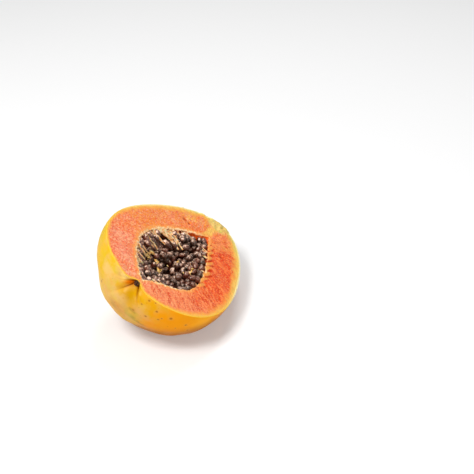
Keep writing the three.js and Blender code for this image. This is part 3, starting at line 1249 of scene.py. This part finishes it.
    def _relief(self, points: Array, from_skin: Array, from_cavity: Array) -> Array:
        """Gives the cut's height: the knife's waves, the grain, gouges, and the rounded lip and rim."""
        height = self.knife_waves.at(points) * smooth_step(from_skin, 0, 12)
        height += sum(ripple.at(points) for ripple in self.grain) * smooth_step(from_skin, 0.3, 2.5)
        torn = smooth_step(points[..., 0], 55, 75) * (points[..., 1] > 0) * smooth_step(from_skin, 7, 1)
        height += torn * self.tears.at(points)
        height -= self._dented(points)
        off_x, off_y = points[..., 0] - self.stalk[0], points[..., 1] - self.stalk[1]
        near_stalk = bell(off_x / self.stalk_radii[0]) * bell(off_y / self.stalk_radii[1])
        height += near_stalk * (self.stalk_height + self.stalk_lumps.at(points))
        height -= self.lip_drop * bell(from_cavity / self.lip_round)
        return height - self.edge_drop * bell(from_skin / self.rim_round)

    def _dented(self, points: Array) -> Array:
        """Gives how deep the gouges are at each point."""
        return sum(dent.at(points) for dent in self.dents)

    def _teeth_at(self, points: Array) -> tuple[Array, Array]:
        """Works out the row of slanting ridges and gaps round the cavity's lower side.

        Args:
            points: Places on the cut.

        Returns:
            The row's wave at each place, above 0 on a ridge, and how much of it is there, from 0 to 1.
        """
        x, y = points[..., 0], points[..., 1]
        flat = np.stack([x, y, 0 * x], axis=-1)
        along = x * self.tooth_way[0] + y * self.tooth_way[1] - self.tooth_start
        wave = np.sin(2 * math.pi * along / self.tooth_pitch + self.tooth_wander.at(flat))
        wave += self.tooth_unevenness.at(flat)
        there = smooth_step(x, -34, -8) * smooth_step(x / 3 - y, 5, 15) * smooth_step(x, 60, 38)
        return np.clip(wave, -1, 1), there

    def _teeth(self, points: Array, from_cavity: Array) -> tuple[Array, Array]:
        """Gives the ridges and the gaps between them on the cut, each from 0 to 1 and narrower outwards."""
        wave, there = self._teeth_at(points)
        ridge = np.clip(0.9 * wave + 0.6 - from_cavity / self.ridge_length, 0, 1) * there
        gap = np.clip(-1.8 * wave - 0.35 - from_cavity / self.gap_length, 0, 1) * there
        return ridge * smooth_step(from_cavity, self.ridge_length, 1.0), gap

    def _add_wall(self, draft: MeshDraft, edge: Array, grid: Array) -> None:
        """Adds the cavity's wall below its edge."""
        steps = self.along_steps
        rows = [np.repeat(edge[0], self.wall_steps + 1)]
        for i in range(1, steps):
            low = draft.add_points(grid[i, 1:-1])
            rows.append(np.concatenate([[edge[i]], low, [edge[2 * steps - i]]]))
        rows.append(np.repeat(edge[steps], self.wall_steps + 1))
        draft.join(rows, 2)

    def _attributes(
        self, draft: MeshDraft, numbers: list[Array], rings: list[Array], distances: Array
    ) -> dict[str, Array]:
        """Works out the attributes that the finishes read.

        Args:
            draft: The whole mesh.
            numbers: The face's point numbers, ring by ring.
            rings: The face's points, ring by ring.
            distances: The face points' distances from the skin and from the cavity.

        Returns:
            Values for every point of the mesh, by attribute name.
        """
        middle = rings[len(rings) // 2]
        steps = np.linalg.norm(np.roll(middle, -1, axis=0) - middle, axis=1)
        around = 2 * math.pi * np.concatenate([[0], np.cumsum(steps)[:-1]]) / steps.sum()
        radius = steps.sum() / (2 * math.pi)
        ridge, gap = self._teeth(np.stack(rings), distances[1])
        values = {"flow": np.zeros((draft.count, 3))}
        values |= {name: np.zeros(draft.count) for name in ("from_skin", "from_cavity", "tooth", "wound")}
        for row, ring in enumerate(numbers):
            fibre = self.fibre_stretch * distances[1, row]
            flow = [radius * np.cos(around), radius * np.sin(around), fibre]
            values["flow"][ring] = np.stack(flow, axis=1)
            values["from_skin"][ring], values["from_cavity"][ring] = distances[:, row]
            values["tooth"][ring] = ridge[row] - gap[row]
            values["wound"][ring] = np.clip(self._dented(rings[row]) - self.wound_start, 0, 0.85)
        local = np.concatenate(draft.points)
        distance = np.hypot(local[:, 1], local[:, 2])
        angle = np.arctan2(-local[:, 2], local[:, 1])
        blossom_end = local[:, 0] < self.blossom_end
        # Masks of painted shade for the skin: along the crease lines and round the scar, in the hollows, and
        # in the wedge between the first two creases.
        lines = sum(c.depth * c.share(angle, distance, 0.8) for c in self.creases)
        hollows = sum(f.colour * f.share(angle, distance) for f in self.folds)
        values["wedge_shade"] = 0.95 * self.wedge_shade.share(angle, distance) * blossom_end
        values["crease"] = np.clip(0.75 * lines + 0.9 * bell(distance / 4.0), 0, 1) * blossom_end
        values["hollow"] = np.clip(hollows, 0, 1) * blossom_end
        return values


# -----------------------------------------------------------------------------
# The seeds and what holds them


@dataclass
class SeedHeap:
    """Where the seeds lie: dropped over the trough's swelling floor and pushed apart until they touch."""

    form: FruitForm
    pitch: float = 6.0
    radius: float = 3.15
    size_spread: float = 0.2
    swell: Ripple = Ripple(27.0, 41)
    swell_height: float = 1.5
    upper_share: float = 0.34
    vacant_share: float = 0.05
    jitter: float = 0.22
    upper_jitter: float = 2.0
    layer_height: float = 1.5
    closeness: float = 0.94
    push: float = 0.35
    sinking: float = 0.08
    steepest: float = 0.97
    rounds: int = 60
    seed: int = 7
    pits: tuple[Hollow, ...] = (
        Hollow(-13.0, 10.0, 4.5, 3.5),
        Hollow(-6.0, -3.0, 6.0, 5.0),
        Hollow(11.0, 12.0, 4.0, 1.5),
        Hollow(25.0, 1.0, 4.5, 3.0),
        Hollow(-38.0, 4.0, 4.5, 3.0),
        Hollow(46.0, 13.0, 4.5, 4.0),
    )
    strand_way: Point = (0.45, -0.85, -0.3)
    corner_drop: float = 2.6
    far_upper_share: float = 0.35
    heaped_x: tuple[float, ...] = (12.0, 17.5, 14.5, 5.5, 9.0, 21.0, 27.0, 22.5, 30.0)
    heaped_y: tuple[float, ...] = (22.5, 23.0, 17.5, 23.0, 28.5, 13.0, 10.0, 6.5, 15.0)

    def corner(self, x: Array, y: Array) -> Array:
        """Gives how much lower the heap lies towards the +y wall's stem end, where the wall shows."""
        return self.corner_drop * smooth_step(x, 32, 50) * smooth_step(y, -2, 10)

    def floor(self, x: Array, angle: Array) -> Array:
        """Gives points of the heap's floor, on which the lowest seeds' middles stand."""
        points = self.form.trough(x, angle)
        lift = self.swell_height * self.swell.at(points)
        for pit in self.pits:
            lift -= pit.at(points)
        lift *= smooth_step(np.sin(angle), 0.15, 0.75)
        points[..., 2] += lift - self.corner(points[..., 0], points[..., 1])
        return points

    def floor_under(self, x: Array, y: Array) -> Array:
        """Gives the floor's points at places along and across the fruit, or near its edge where it ends."""
        return self.floor(x, self.angle_across(y / self.form.trough_reach(x, 0 * x)))

    def angle_across(self, share: Array) -> Array:
        """Gives the angle at which a share of the way across is reached, kept off the steep edges."""
        return np.arccos(np.clip(share, -self.steepest, self.steepest))

    def settle(self) -> tuple[Array, Array, Array]:
        """Works out the seeds' places.

        Returns:
            Their middles, their radii and the directions out of the heap at each.
        """
        draw = np.random.default_rng(self.seed)
        middles = self._dropped(draw)
        radii = self.radius * (1 + self.size_spread * draw.uniform(-1, 1, len(middles)))
        for _ in range(self.rounds):
            middles = self._kept_in(self._pushed_apart(middles, radii), radii)
        return middles, radii, self.upright(middles)

    def _dropped(self, draw: np.random.Generator) -> Array:
        """Drops seeds in rows over the floor, and some more on top of them."""
        places = []
        rows = np.arange(self.form.cavity_start + 6, self.form.cavity_end - 8, self.pitch * math.sqrt(0.75))
        fine = np.linspace(0, math.pi, 121)
        for number, x in enumerate(rows):
            curve = self.form.trough(np.full(fine.shape, x), fine)
            length = np.concatenate([[0], np.cumsum(np.linalg.norm(np.diff(curve, axis=0), axis=1))])
            count = max(int(round(length[-1] / self.pitch)), 1)
            offsets = (np.arange(count + 1) + 0.5 * (number % 2)) / count
            angles = np.interp(offsets[offsets <= 1] * length[-1], length, fine)
            row = self.floor(np.full(angles.shape, x), angles)
            places.append(row + draw.uniform(-1, 1, row.shape) * self.pitch * self.jitter)
        base = np.concatenate(places)
        base = base[draw.random(len(base)) > self.vacant_share]
        share = self.upper_share * (1 + 0.7 * self.swell.at(base))
        for pit in self.pits:
            share *= pit.off(base) > 1
        share *= np.where(self.on_far_side(base), self.far_upper_share, 1)
        upper = base[draw.random(len(base)) < share]
        upper += draw.uniform(-1, 1, upper.shape) * self.upper_jitter
        upper = np.concatenate([upper, self.floor_under(np.array(self.heaped_x), np.array(self.heaped_y))])
        return np.concatenate([base, upper + self.upright(upper) * self.radius * self.layer_height])

    def _pushed_apart(self, middles: Array, radii: Array) -> Array:
        """Moves seeds that overlap away from each other."""
        between = middles[:, None] - middles[None]
        gap = np.linalg.norm(between, axis=-1) + np.eye(len(middles)) * 1e3
        overlap = np.maximum(self.closeness * (radii[:, None] + radii[None]) - gap, 0)
        return middles + (between / gap[..., None] * overlap[..., None] * self.push).sum(axis=1)

    def _kept_in(self, middles: Array, radii: Array) -> Array:
        """Lets seeds sink to the floor, and keeps them on it, off the wall and below the cut."""
        kept = middles.copy()
        corner = self.corner(kept[:, 0], kept[:, 1])
        kept[:, 0] = np.clip(kept[:, 0], self.form.cavity_start + 6, self.form.cavity_end - 7 - corner)
        upright = self.upright(kept)
        kept -= upright * self.sinking
        floor = self.floor(kept[:, 0], self._trough_angle(kept))
        kept -= upright * np.minimum(((kept - floor) * upright).sum(axis=1), 0)[:, None]
        wall = self.form.cavity_reach(kept[:, 0], np.arctan2(-kept[:, 2], kept[:, 1])) - radii - 0.1
        reach = np.hypot(kept[:, 1], kept[:, 2])
        kept[:, 1:] *= np.minimum(1, np.maximum(wall, 0.5) / np.maximum(reach, 0.1))[:, None]
        kept[:, 2] = np.minimum(kept[:, 2], -radii - 0.2 - corner)
        return kept

    def _trough_angle(self, points: Array) -> Array:
        """Gives the angle of the trough's point that lies under each point."""
        down = (-points[:, 2] - self.form.rim_depth) / self.form.trough_share
        return np.clip(np.arctan2(np.maximum(down, 0), points[:, 1]), 0, math.pi)

    def upright(self, points: Array) -> Array:
        """Gives the direction out of the trough at each point."""
        angle = self._trough_angle(points)
        out = np.stack([0 * angle, -np.cos(angle) * self.form.trough_share, np.sin(angle) + 0.15], axis=1)
        return out / np.linalg.norm(out, axis=1, keepdims=True)

    def on_far_side(self, points: Array) -> Array:
        """Says which points lie by the +y wall, where the seeds hang on strands that all run one way."""
        x, y = points[:, 0], points[:, 1]
        return (y > self.form.cavity_reach(x, 0 * x) - 15) & (x > -58) & (x < 12) & (y > 6)


@dataclass
class Seeds(Piece):
    """The seeds, each a small uneven egg."""

    stretch: float = 1.2
    far_stretch: float = 1.35
    flatness: float = 0.93
    far_slimness: float = 0.97
    unevenness: float = 0.09
    lean: float = 0.75
    far_lean: float = 0.22
    # The next two scale each seed's share of jelly tan and painted highlight: less of it towards the near
    # side, and more in the stem corner as painted light on seeds in the wall's shade.
    near_gel_and_highlight_loss: float = 0.65
    stem_corner_painted_light_gain: float = 0.6
    # The fixed way, in the fruit's frame, that each seed's painted sheen and highlight are turned to.
    painted_light_way: Point = (-0.28, 0.52, 0.81)
    sides: int = 9
    rings: int = 6

    def build(self) -> Object:
        """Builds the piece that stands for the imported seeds: a point for each, grown into an egg."""
        middles, radii, upright = self.heap.settle()
        draw = np.random.default_rng(self.heap.seed + 1)
        draft = MeshDraft(self.lie)
        draft.add_points(middles)
        far = self.heap.on_far_side(middles)
        ways = upright + self.lean * draw.normal(size=upright.shape)
        ways[far] = np.array(self.heap.strand_way) + self.far_lean * draw.normal(size=(int(far.sum()), 3))
        stretch = np.where(far, self.far_stretch, self.stretch)
        slim = np.where(far, self.flatness * self.far_slimness, self.flatness)
        scales = radii[:, None] * np.stack([slim, slim, stretch], axis=1)
        scales *= 1 + self.unevenness * draw.uniform(-1, 1, scales.shape)
        turns = self._turns(ways @ self.lie.turn().T, draw)
        # Each seed's share of jelly tan and painted highlight: larger on the far side, where it lightens the
        # seeds in the wall's shade.
        gel_and_highlight = np.where(far, draw.uniform(1.0, 1.5, len(far)), 0.35 + 0.65 * draw.random(len(far)))
        gel_and_highlight *= 1 - self.near_gel_and_highlight_loss * smooth_step(-middles[:, 1], 6, 22)
        stem_corner = smooth_step(middles[:, 1], 4, 14) * smooth_step(middles[:, 0], 8, 18)
        gel_and_highlight *= 1 + self.stem_corner_painted_light_gain * stem_corner
        tone = np.where(far, draw.uniform(0.6, 1.0, len(far)), draw.random(len(far)))
        own = {"seed_turn": turns, "seed_scale": scales * METRES, "tone": tone, "gel_and_highlight": gel_and_highlight}
        points = draft.build("papaya_seeds", [], own)
        LOG.info("%d seeds", len(middles))
        return hand_over(self._tree().grow(points, self.lie), "seeds")

    @staticmethod
    def _turns(ways: Array, draw: np.random.Generator) -> Array:
        """Gives the Euler angles that turn +z to each direction, with a random spin about it."""
        turns = []
        for way, spin in zip(ways, draw.uniform(0, 2 * math.pi, len(ways))):
            turn = Vector(way).to_track_quat("Z", "Y").to_matrix() @ Matrix.Rotation(spin, 3, "Z")
            turns.append(tuple(turn.to_euler()))
        return np.array(turns)

    def _tree(self) -> GrowthTree:
        """Makes the tree that sets a wrinkled seed on each point and stores how far each point turns to the
        painted light's way.
        """
        growth = GrowthTree("seeds on points", {"Wrinkle height": 0.0013, "Wrinkles per metre": 420.0})
        wire = growth.wire
        ball = {"Segments": self.sides, "Rings": self.rings, "Radius": 1.0}
        inputs = {
            "Points": growth.given["Geometry"],
            "Instance": wire.get("GeometryNodeMeshUVSphere", ball),
            "Rotation": growth.named("seed_turn", "FLOAT_VECTOR"),
            "Scale": growth.named("seed_scale", "FLOAT_VECTOR"),
        }
        seeds = wire.get("GeometryNodeInstanceOnPoints", inputs)
        real = wire.get("GeometryNodeRealizeInstances", {"Geometry": seeds})
        noise = wire.get("ShaderNodeTexNoise", {"Scale": growth.given["Wrinkles per metre"], "Detail": 1.0})
        height = wire.times(wire.sum("SUBTRACT", noise, 0.5), growth.given["Wrinkle height"])
        normal = wire.get("GeometryNodeInputNormal")
        offset = wire.get("ShaderNodeVectorMath", {0: normal, "Scale": height}, operation="SCALE")
        moved = wire.get("GeometryNodeSetPosition", {"Geometry": real, "Offset": offset})
        painted_light_direction = tuple(self.lie.turn() @ np.array(self.painted_light_way))
        inputs = {"Geometry": moved, "Name": "light_facing", "Value": wire.measure("DOT_PRODUCT", normal, painted_light_direction)}
        stored_light_facing = wire.get("GeometryNodeStoreNamedAttribute", inputs, data_type="FLOAT", domain="POINT")
        growth.end(stored_light_facing, SeedFinish(self.effects).material())
        return growth


@dataclass
class SeedBed(Piece):
    """The moist pulp that the seeds are rooted in, coloured near black: painted shade in the gaps between the
    seeds.
    """

    along_steps: int = 110
    across_steps: int = 60
    wall_gap: float = 0.5
    edge_depth: float = 4.6
    sink: float = 1.3
    # Near black and dark brown: painted shade in the gaps between the seeds.
    finish: PlainFinish = PlainFinish(
        "seed pulp", tint("160703"), tint("4e200e"), 0.25, Gloss(roughness=0.6, specular=0.08)
    )

    def build(self) -> Object:
        """Builds the piece: at each place along the axis, a section between the heap's floor and the wall."""
        draft = MeshDraft(self.lie)
        x = np.linspace(self.form.cavity_start + 7.5, self.form.cavity_end - 8.5, self.along_steps)
        rows = [draft.add_points(self._section(place)) for place in x]
        ends = [draft.add_points(draft.points[k].mean(axis=0)) for k in (0, self.along_steps - 1)]
        start, end = (np.repeat(number, len(rows[0])) for number in ends)
        draft.join([start, *rows, end], closed=True)
        return hand_over(draft.build("papaya_seed_bed", [self.finish.material(self.effects)]))

    def _section(self, x: float) -> Array:
        """Gives the points round the bed at one place along the axis."""
        angle = np.linspace(0, math.pi, self.across_steps)
        wall = self.form.cavity(np.full(angle.shape, x), angle)
        radius = float(np.hypot(wall[:, 1], wall[:, 2]).min()) - self.wall_gap
        edges = self.edge_depth + self.heap.corner(np.full(2, x), np.array([radius, -radius]))
        halves = np.sqrt(np.maximum(radius**2 - edges**2, 1.0))
        starts = np.arcsin(np.minimum(edges / radius, 0.99))
        side = np.where(np.cos(angle) > 0, 0, 1)
        floor = self.heap.floor(np.full(angle.shape, x), angle)
        depth = np.maximum(-floor[:, 2] + self.sink * np.sin(angle), edges[side])
        upper = np.stack([0 * angle + x, halves[side] * np.cos(angle), -depth], axis=1)
        upper[:, 2] = np.maximum(upper[:, 2], -np.sqrt(np.maximum(radius**2 - upper[:, 1] ** 2, 0)) * 0.96)
        lower = round_axis(x, radius, np.linspace(math.pi - starts[1], starts[0], self.across_steps))
        return np.concatenate([upper, lower[1:-1]])


@dataclass(frozen=True)
class Thread:
    """One strand: its points in the fruit's frame and its radius at each."""

    points: Array
    radii: Array


@dataclass
class Strands(Piece):
    """The pale strands that tie the seeds to the cavity's wall, and the ridge that they run out from."""

    far_count: int = 6
    far_radius: float = 1.1
    edge_count: int = 34
    edge_radius: float = 0.8
    band_radius: float = 2.4
    band_lift: float = 6.4
    bands: tuple[Point, ...] = (
        (-60.0, 6.0, -3.5),
        (-51.5, 7.5, -6.0),
        (-43.5, 8.5, -6.5),
        (-37.5, 10.0, -7.5),
        (-31.5, 11.0, -7.0),
        (-23.5, 9.0, -9.5),
        (-18.5, 8.0, -11.0),
        (-14.0, 4.0, -13.5),
        (-4.5, 6.0, -12.5),
    )
    ridge_roots: tuple[float, ...] = (1.4, 3.0, 4.6, 6.2, 7.8, 16.0, 17.8, 19.6)
    ridge_tip: Point = (16.7, 6.3, -6.6)
    points_each: int = 8
    seed: int = 31
    finish: PlainFinish = PlainFinish(
        "seed strand",
        tint("ffd8a8"),
        tint("f0a868"),
        0.4,
        Gloss(roughness=0.45, coat=0.08, coat_roughness=0.2, under_light=0.4, under_depth=1.5, specular=0.15),
    )

    def build(self) -> Object:
        """Builds the piece from a line for each strand: thin ones at random places and the broad bands."""
        draw = np.random.default_rng(self.seed)
        threads = [self._far_side(draw, share) for share in np.linspace(0, 1, self.far_count)]
        threads += [self._edge(draw) for _ in range(self.edge_count)]
        for x, *way in self.bands:
            threads.append(self._thread(x, 1, np.array(way), draw, self.band_radius, self.band_lift))
        threads += self._ridge(draw)
        starts = np.cumsum([0] + [len(thread.points) for thread in threads])
        edges = [(int(k), int(k) + 1) for a, b in zip(starts, starts[1:]) for k in range(a, b - 1)]
        places = np.concatenate([thread.points for thread in threads])
        mesh = bpy.data.meshes.new("papaya_seed_strands")
        mesh.from_pydata((self.lie.placed(places) * METRES).tolist(), edges, [])
        add_layer(mesh, "strand_radius", np.concatenate([thread.radii for thread in threads]) * METRES)
        return hand_over(self._tree().grow(stand("papaya_seed_strands", mesh), self.lie))

    def _far_side(self, draw: np.random.Generator, share: float) -> Thread:
        """Gives a long strand that hangs from the +y wall over the seeds."""
        way = np.array(self.heap.strand_way[:2]) + 0.08 * draw.normal(size=2)
        x = -66 + 74 * share + draw.uniform(-0.9, 0.9)
        return self._thread(x, 1, way * draw.uniform(6, 11), draw, self.far_radius, draw.uniform(4.2, 5.8))

    def _edge(self, draw: np.random.Generator) -> Thread:
        """Gives a short strand anywhere along the cavity's edge."""
        side = int(draw.choice([-1, 1]))
        way = np.array([draw.uniform(-0.4, 0.4), -side])
        x = draw.uniform(-70, 44)
        way *= draw.uniform(3, 6)
        return self._thread(x, side, way, draw, self.edge_radius, draw.uniform(3.6, 5.2))

    def _thread(
        self, x: float, side: int, way: Array, draw: np.random.Generator, radius: float, lift: float
    ) -> Thread:
        """Gives a strand that runs from the wall over the seeds.

        Args:
            x: Its root's place along the axis.
            side: 1 for the +y wall and -1 for the other.
            way: How far it runs along x and y.
            draw: The random draws.
            radius: Its usual radius.
            lift: How far it lies above the heap's floor.

        Returns:
            The strand.
        """
        form = self.heap.form
        angle = np.full(self.points_each, 0.08 if side > 0 else math.pi - 0.08)
        share = np.linspace(0, 1, self.points_each)
        wall = form.cavity(np.array([x]), angle[:1])[0] + np.array([0, 0.6 * side, -0.6])
        along = x + way[0] * share
        reach = np.maximum(form.trough_reach(along, angle), 4)
        points = self.heap.floor(along, self.heap.angle_across((wall[1] + way[1] * share) / reach))
        points += self.heap.upright(points) * lift
        points += (wall - points[0]) * (1 - smooth_step(share, 0.1, 0.9))[:, None]
        points[1:] += draw.normal(size=(self.points_each - 1, 3)) * 0.2
        points[:, 2] = np.minimum(points[:, 2], -0.7)
        return Thread(points, radius * draw.uniform(0.75, 1.25) * (0.16 + 1.2 * (1 - share) ** 1.3))

    def _ridge(self, draw: np.random.Generator) -> list[Thread]:
        """Gives the broad ridge on the +y wall: strands that start side by side and draw together."""
        share = np.linspace(0, 1, self.points_each + 6)
        ridge = []
        for place in self.ridge_roots:
            root = np.array([place, 35.2 - 0.02 * (place - 7) ** 2, -1.4 - 0.05 * abs(place - 9)])
            off = place - 9.0
            spread = np.array([0.12 * off, 0.1 * abs(off), -0.08 * abs(off)])
            end = np.array(self.ridge_tip) + spread + draw.normal(size=3) * 0.8
            bulge = np.sin(math.pi * share)[:, None] * np.array([2.4, 0.0, 0.8 + 0.6 * draw.normal()])
            points = root + (end - root) * share[:, None] * draw.uniform(0.4, 1.05) + bulge
            points[1:] += draw.normal(size=(len(share) - 1, 3)) * 0.5
            radii = np.linspace(1.5, 0.55, len(share)) * draw.uniform(0.6, 1.4, len(share))
            ridge.append(Thread(points, radii))
        return ridge

    def _tree(self) -> GrowthTree:
        """Makes the tree that turns each line into a tapering thread."""
        growth = GrowthTree("threads on lines", {"Least radius": 0.0001})
        wire = growth.wire
        curve = wire.get("GeometryNodeMeshToCurve", {"Mesh": growth.given["Geometry"]})
        radius = wire.sum("MAXIMUM", growth.named("strand_radius", "FLOAT"), growth.given["Least radius"])
        ring = wire.get("GeometryNodeCurvePrimitiveCircle", {"Resolution": 7, "Radius": 1.0})
        inputs = {"Curve": curve, "Profile Curve": ring, "Scale": radius, "Fill Caps": True}
        growth.end(wire.get("GeometryNodeCurveToMesh", inputs), self.finish.material(self.effects))
        return growth


@dataclass
class PulpFlakes(Piece):
    """Small yellow crumbs of pulp that stick to the seeds."""

    tangles: tuple[tuple[float, float, float, int], ...] = (
        (-23.5, 21.5, 4.6, 16),
        (-20.0, 11.0, 3.0, 9),
        (-25.5, 3.0, 2.6, 8),
        (3.0, -20.5, 2.4, 8),
        (5.0, -1.0, 0.8, 2),
    )
    tangle_lift: float = 6.2
    loose_count: int = 16
    loose_lift: float = 4.0
    seed: int = 53
    finish: PlainFinish = PlainFinish(
        "yellow pulp",
        tint("ffd888"),
        tint("f2a850"),
        0.5,
        Gloss(roughness=0.35, coat=0.5, coat_roughness=0.2, under_light=0.2, under_depth=0.8),
    )

    def build(self) -> Object:
        """Builds the piece: tangles of flattened crumbs, and some loose ones."""
        draw = np.random.default_rng(self.seed)
        spots = []
        for x, y, spread, count in self.tangles:
            for dx, dy in draw.uniform(-spread, spread, size=(count, 2)):
                spots.append((x + 1.3 * dx, y + 0.6 * dy, draw.uniform(1.1, 1.9), self.tangle_lift))
        for _ in range(self.loose_count):
            place = draw.uniform((-60, -24, 0.5), (36, 24, 1.0))
            spots.append((*place, self.loose_lift))
        work = bmesh.new()
        for x, y, size, lift in spots:
            reach = float(self.form.trough_reach(np.array(x), np.array(0.0)))
            if abs(y) <= reach - 2:
                middle = self.heap.floor(np.array([x]), np.array([math.acos(y / reach)]))[0]
                middle[2] += lift + draw.uniform(-0.8, 0.8)
                self._crumb(work, middle, size, draw)
        mesh = bpy.data.meshes.new("papaya_pulp_flakes")
        work.to_mesh(mesh)
        work.free()
        mesh.polygons.foreach_set("use_smooth", [True] * len(mesh.polygons))
        mesh.materials.append(self.finish.material(self.effects))
        piece = stand("papaya_pulp_flakes", mesh)
        store_places(piece, self.lie)
        return hand_over(piece)

    def _crumb(self, work: bmesh.types.BMesh, middle: Array, size: float, draw: np.random.Generator) -> None:
        """Adds one crumb: a squashed, lumpy ball."""
        made = bmesh.ops.create_icosphere(work, subdivisions=2, radius=size)
        turn = Matrix.Rotation(draw.uniform(0, math.pi), 3, "Z")
        turn = turn @ Matrix.Rotation(draw.uniform(-0.5, 0.5), 3, "X")
        squash = draw.uniform((1.0, 0.5, 0.35), (1.7, 0.8, 0.6))
        for vert in made["verts"]:
            lump = 1 + 0.25 * draw.uniform(-1, 1)
            local = turn @ Vector(squash * np.array(vert.co) * lump)
            vert.co = Vector(self.lie.placed(middle + np.array(local)) * METRES)


@dataclass
class BlossomScar(Piece):
    """The dark dry button that the flower left."""

    radius: float = 2.7
    height: float = 1.7
    inset: Point = (2.2, 0.0, -1.5)
    back_depth: float = 1.5
    highest: float = 1.0
    crust: Ripple = Ripple(1.7, 61, 0.3)
    lobes: int = 5
    rings: int = 14
    sides: int = 48
    finish: PlainFinish = PlainFinish(
        "dry scar", tint("1e0f08"), tint("5a3214"), 0.9, Gloss(roughness=0.6, specular=0.3)
    )

    def build(self) -> Object:
        """Builds the piece: a low lobed dome on the blossom end, cut with the fruit."""
        draft = MeshDraft(self.lie)
        middle = self.form.skin(np.array(0.0), np.array(0.0)) + np.array(self.inset)
        angle = np.linspace(0, 2 * math.pi, self.sides, endpoint=False)
        rows = []
        for level in np.linspace(0.02, 1, self.rings):
            lobe = 1 + 0.08 * np.cos(self.lobes * angle) + 0.05 * np.cos(11 * angle + 1)
            reach = self.radius * level * lobe
            dome = self.height * math.sqrt(max(1 - level**2, 0)) - 0.6 * math.exp(-((level / 0.22) ** 2))
            ring = np.stack([0 * angle, reach * np.cos(angle), reach * np.sin(angle)], axis=1)
            rough = self.crust.at(ring) * min(1.0, 2 * level)
            ring[:, 0] = -dome * (1 + 0.12 * np.cos(self.lobes * angle + 0.4)) + rough
            ring += middle
            ring[:, 2] = np.minimum(ring[:, 2], self.highest)
            rows.append(draft.add_points(ring))
        front = np.repeat(draft.add_points(draft.points[0].mean(axis=0)), self.sides)
        back = np.repeat(draft.add_points(middle + np.array([self.back_depth, 0, 0])), self.sides)
        draft.join([front, *rows, back], closed=True)
        return hand_over(draft.build("papaya_blossom_scar", [self.finish.material(self.effects)]))


# -----------------------------------------------------------------------------
# The studio


class Softbox(Enum):
    """The studio's lights: side in metres, power in watts, and place round the fruit in metres."""

    KEY = (0.6, 22.5, (-0.92, 0.25, 1.4))
    BACK = (0.5, 6.5, (0.7, 0.1, 1.4))
    FILL = (1.0, 4.5, (-0.6, -1.4, 0.7))

    def build(self) -> None:
        """Makes the light and aims it at the fruit."""
        side, power, place = self.value
        lamp = bpy.data.lights.new(f"softbox_{self.name.lower()}", "AREA")
        lamp.shape = "SQUARE"
        lamp.size = side
        lamp.energy = power
        light = stand(lamp.name, lamp)
        light.location = place
        light.rotation_euler = (Vector((0, 0, 0.05)) - Vector(place)).to_track_quat("-Z", "Y").to_euler()


@dataclass(frozen=True)
class Studio:
    """A plain pale floor, soft light and the camera."""

    camera_from_fruit: Point = (-810.6, -416.7, 543.6)
    azimuth: float = math.radians(-66.03)
    elevation: float = math.radians(30.0)
    lens: float = 85.0
    sensor: float = 36.0
    floor_side: float = 12.0
    floor_height: float = -0.0002
    floor_colour: Colour = tint("dedede")
    floor_glow: float = 0.34
    sky_colour: Colour = tint("ffffff")
    sky_strength: float = 0.3

    def build(self, lie: Lie) -> None:
        """Builds the floor, the lights and the camera, which is placed by the fruit's origin."""
        self._floor()
        self._sky()
        for softbox in Softbox:
            softbox.build()
        self._camera(lie)
        bpy.context.scene.view_settings.view_transform = "Standard"

    def _floor(self) -> None:
        """Makes the floor."""
        half = self.floor_side / 2
        mesh = bpy.data.meshes.new("studio_floor")
        corners = [(-half, -half, 0), (half, -half, 0), (half, half, 0), (-half, half, 0)]
        mesh.from_pydata(corners, [], [(0, 1, 2, 3)])
        material, shader = Gloss(roughness=0.9, specular=0.1).start("pale floor")
        for name in ("Base Color", "Emission Color"):
            shader.inputs[name].default_value = self.floor_colour
        shader.inputs["Emission Strength"].default_value = self.floor_glow
        mesh.materials.append(material)
        floor = stand("studio_floor", mesh)
        floor.location.z = self.floor_height

    def _sky(self) -> None:
        """Makes the pale surroundings."""
        world = bpy.data.worlds.new("pale surroundings")
        world.use_nodes = True
        background = world.node_tree.nodes["Background"]
        background.inputs["Color"].default_value = self.sky_colour
        background.inputs["Strength"].default_value = self.sky_strength
        bpy.context.scene.world = world

    def _camera(self, lie: Lie) -> None:
        """Makes the camera."""
        data = bpy.data.cameras.new("camera")
        data.lens = self.lens
        data.sensor_width = self.sensor
        camera = stand("camera", data)
        camera.location = (np.array(self.camera_from_fruit) + lie.origin) * METRES
        flat = math.cos(self.elevation)
        x, y = math.sin(self.azimuth) * flat, -math.cos(self.azimuth) * flat
        back = Vector((x, y, math.sin(self.elevation)))
        camera.rotation_euler = (-back).to_track_quat("-Z", "Y").to_euler()
        bpy.context.scene.camera = camera


def main() -> None:
    """Builds the half and its studio."""
    logging.basicConfig(level=logging.INFO, format="%(name)s: %(message)s")
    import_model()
    form = FruitForm()
    lie = Lie.in_box(form, *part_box("flesh_and_skin"))
    LOG.info("the fruit's own origin: %s", np.round(lie.origin, 3).tolist())
    effects = SharedEffects()
    heap = SeedHeap(form)
    for kind in (FleshAndSkin, SeedBed, Seeds, Strands, PulpFlakes, BlossomScar):
        kind(form, lie, effects, heap).build()
    Studio().build(lie)


if __name__ == "__main__":
    main()
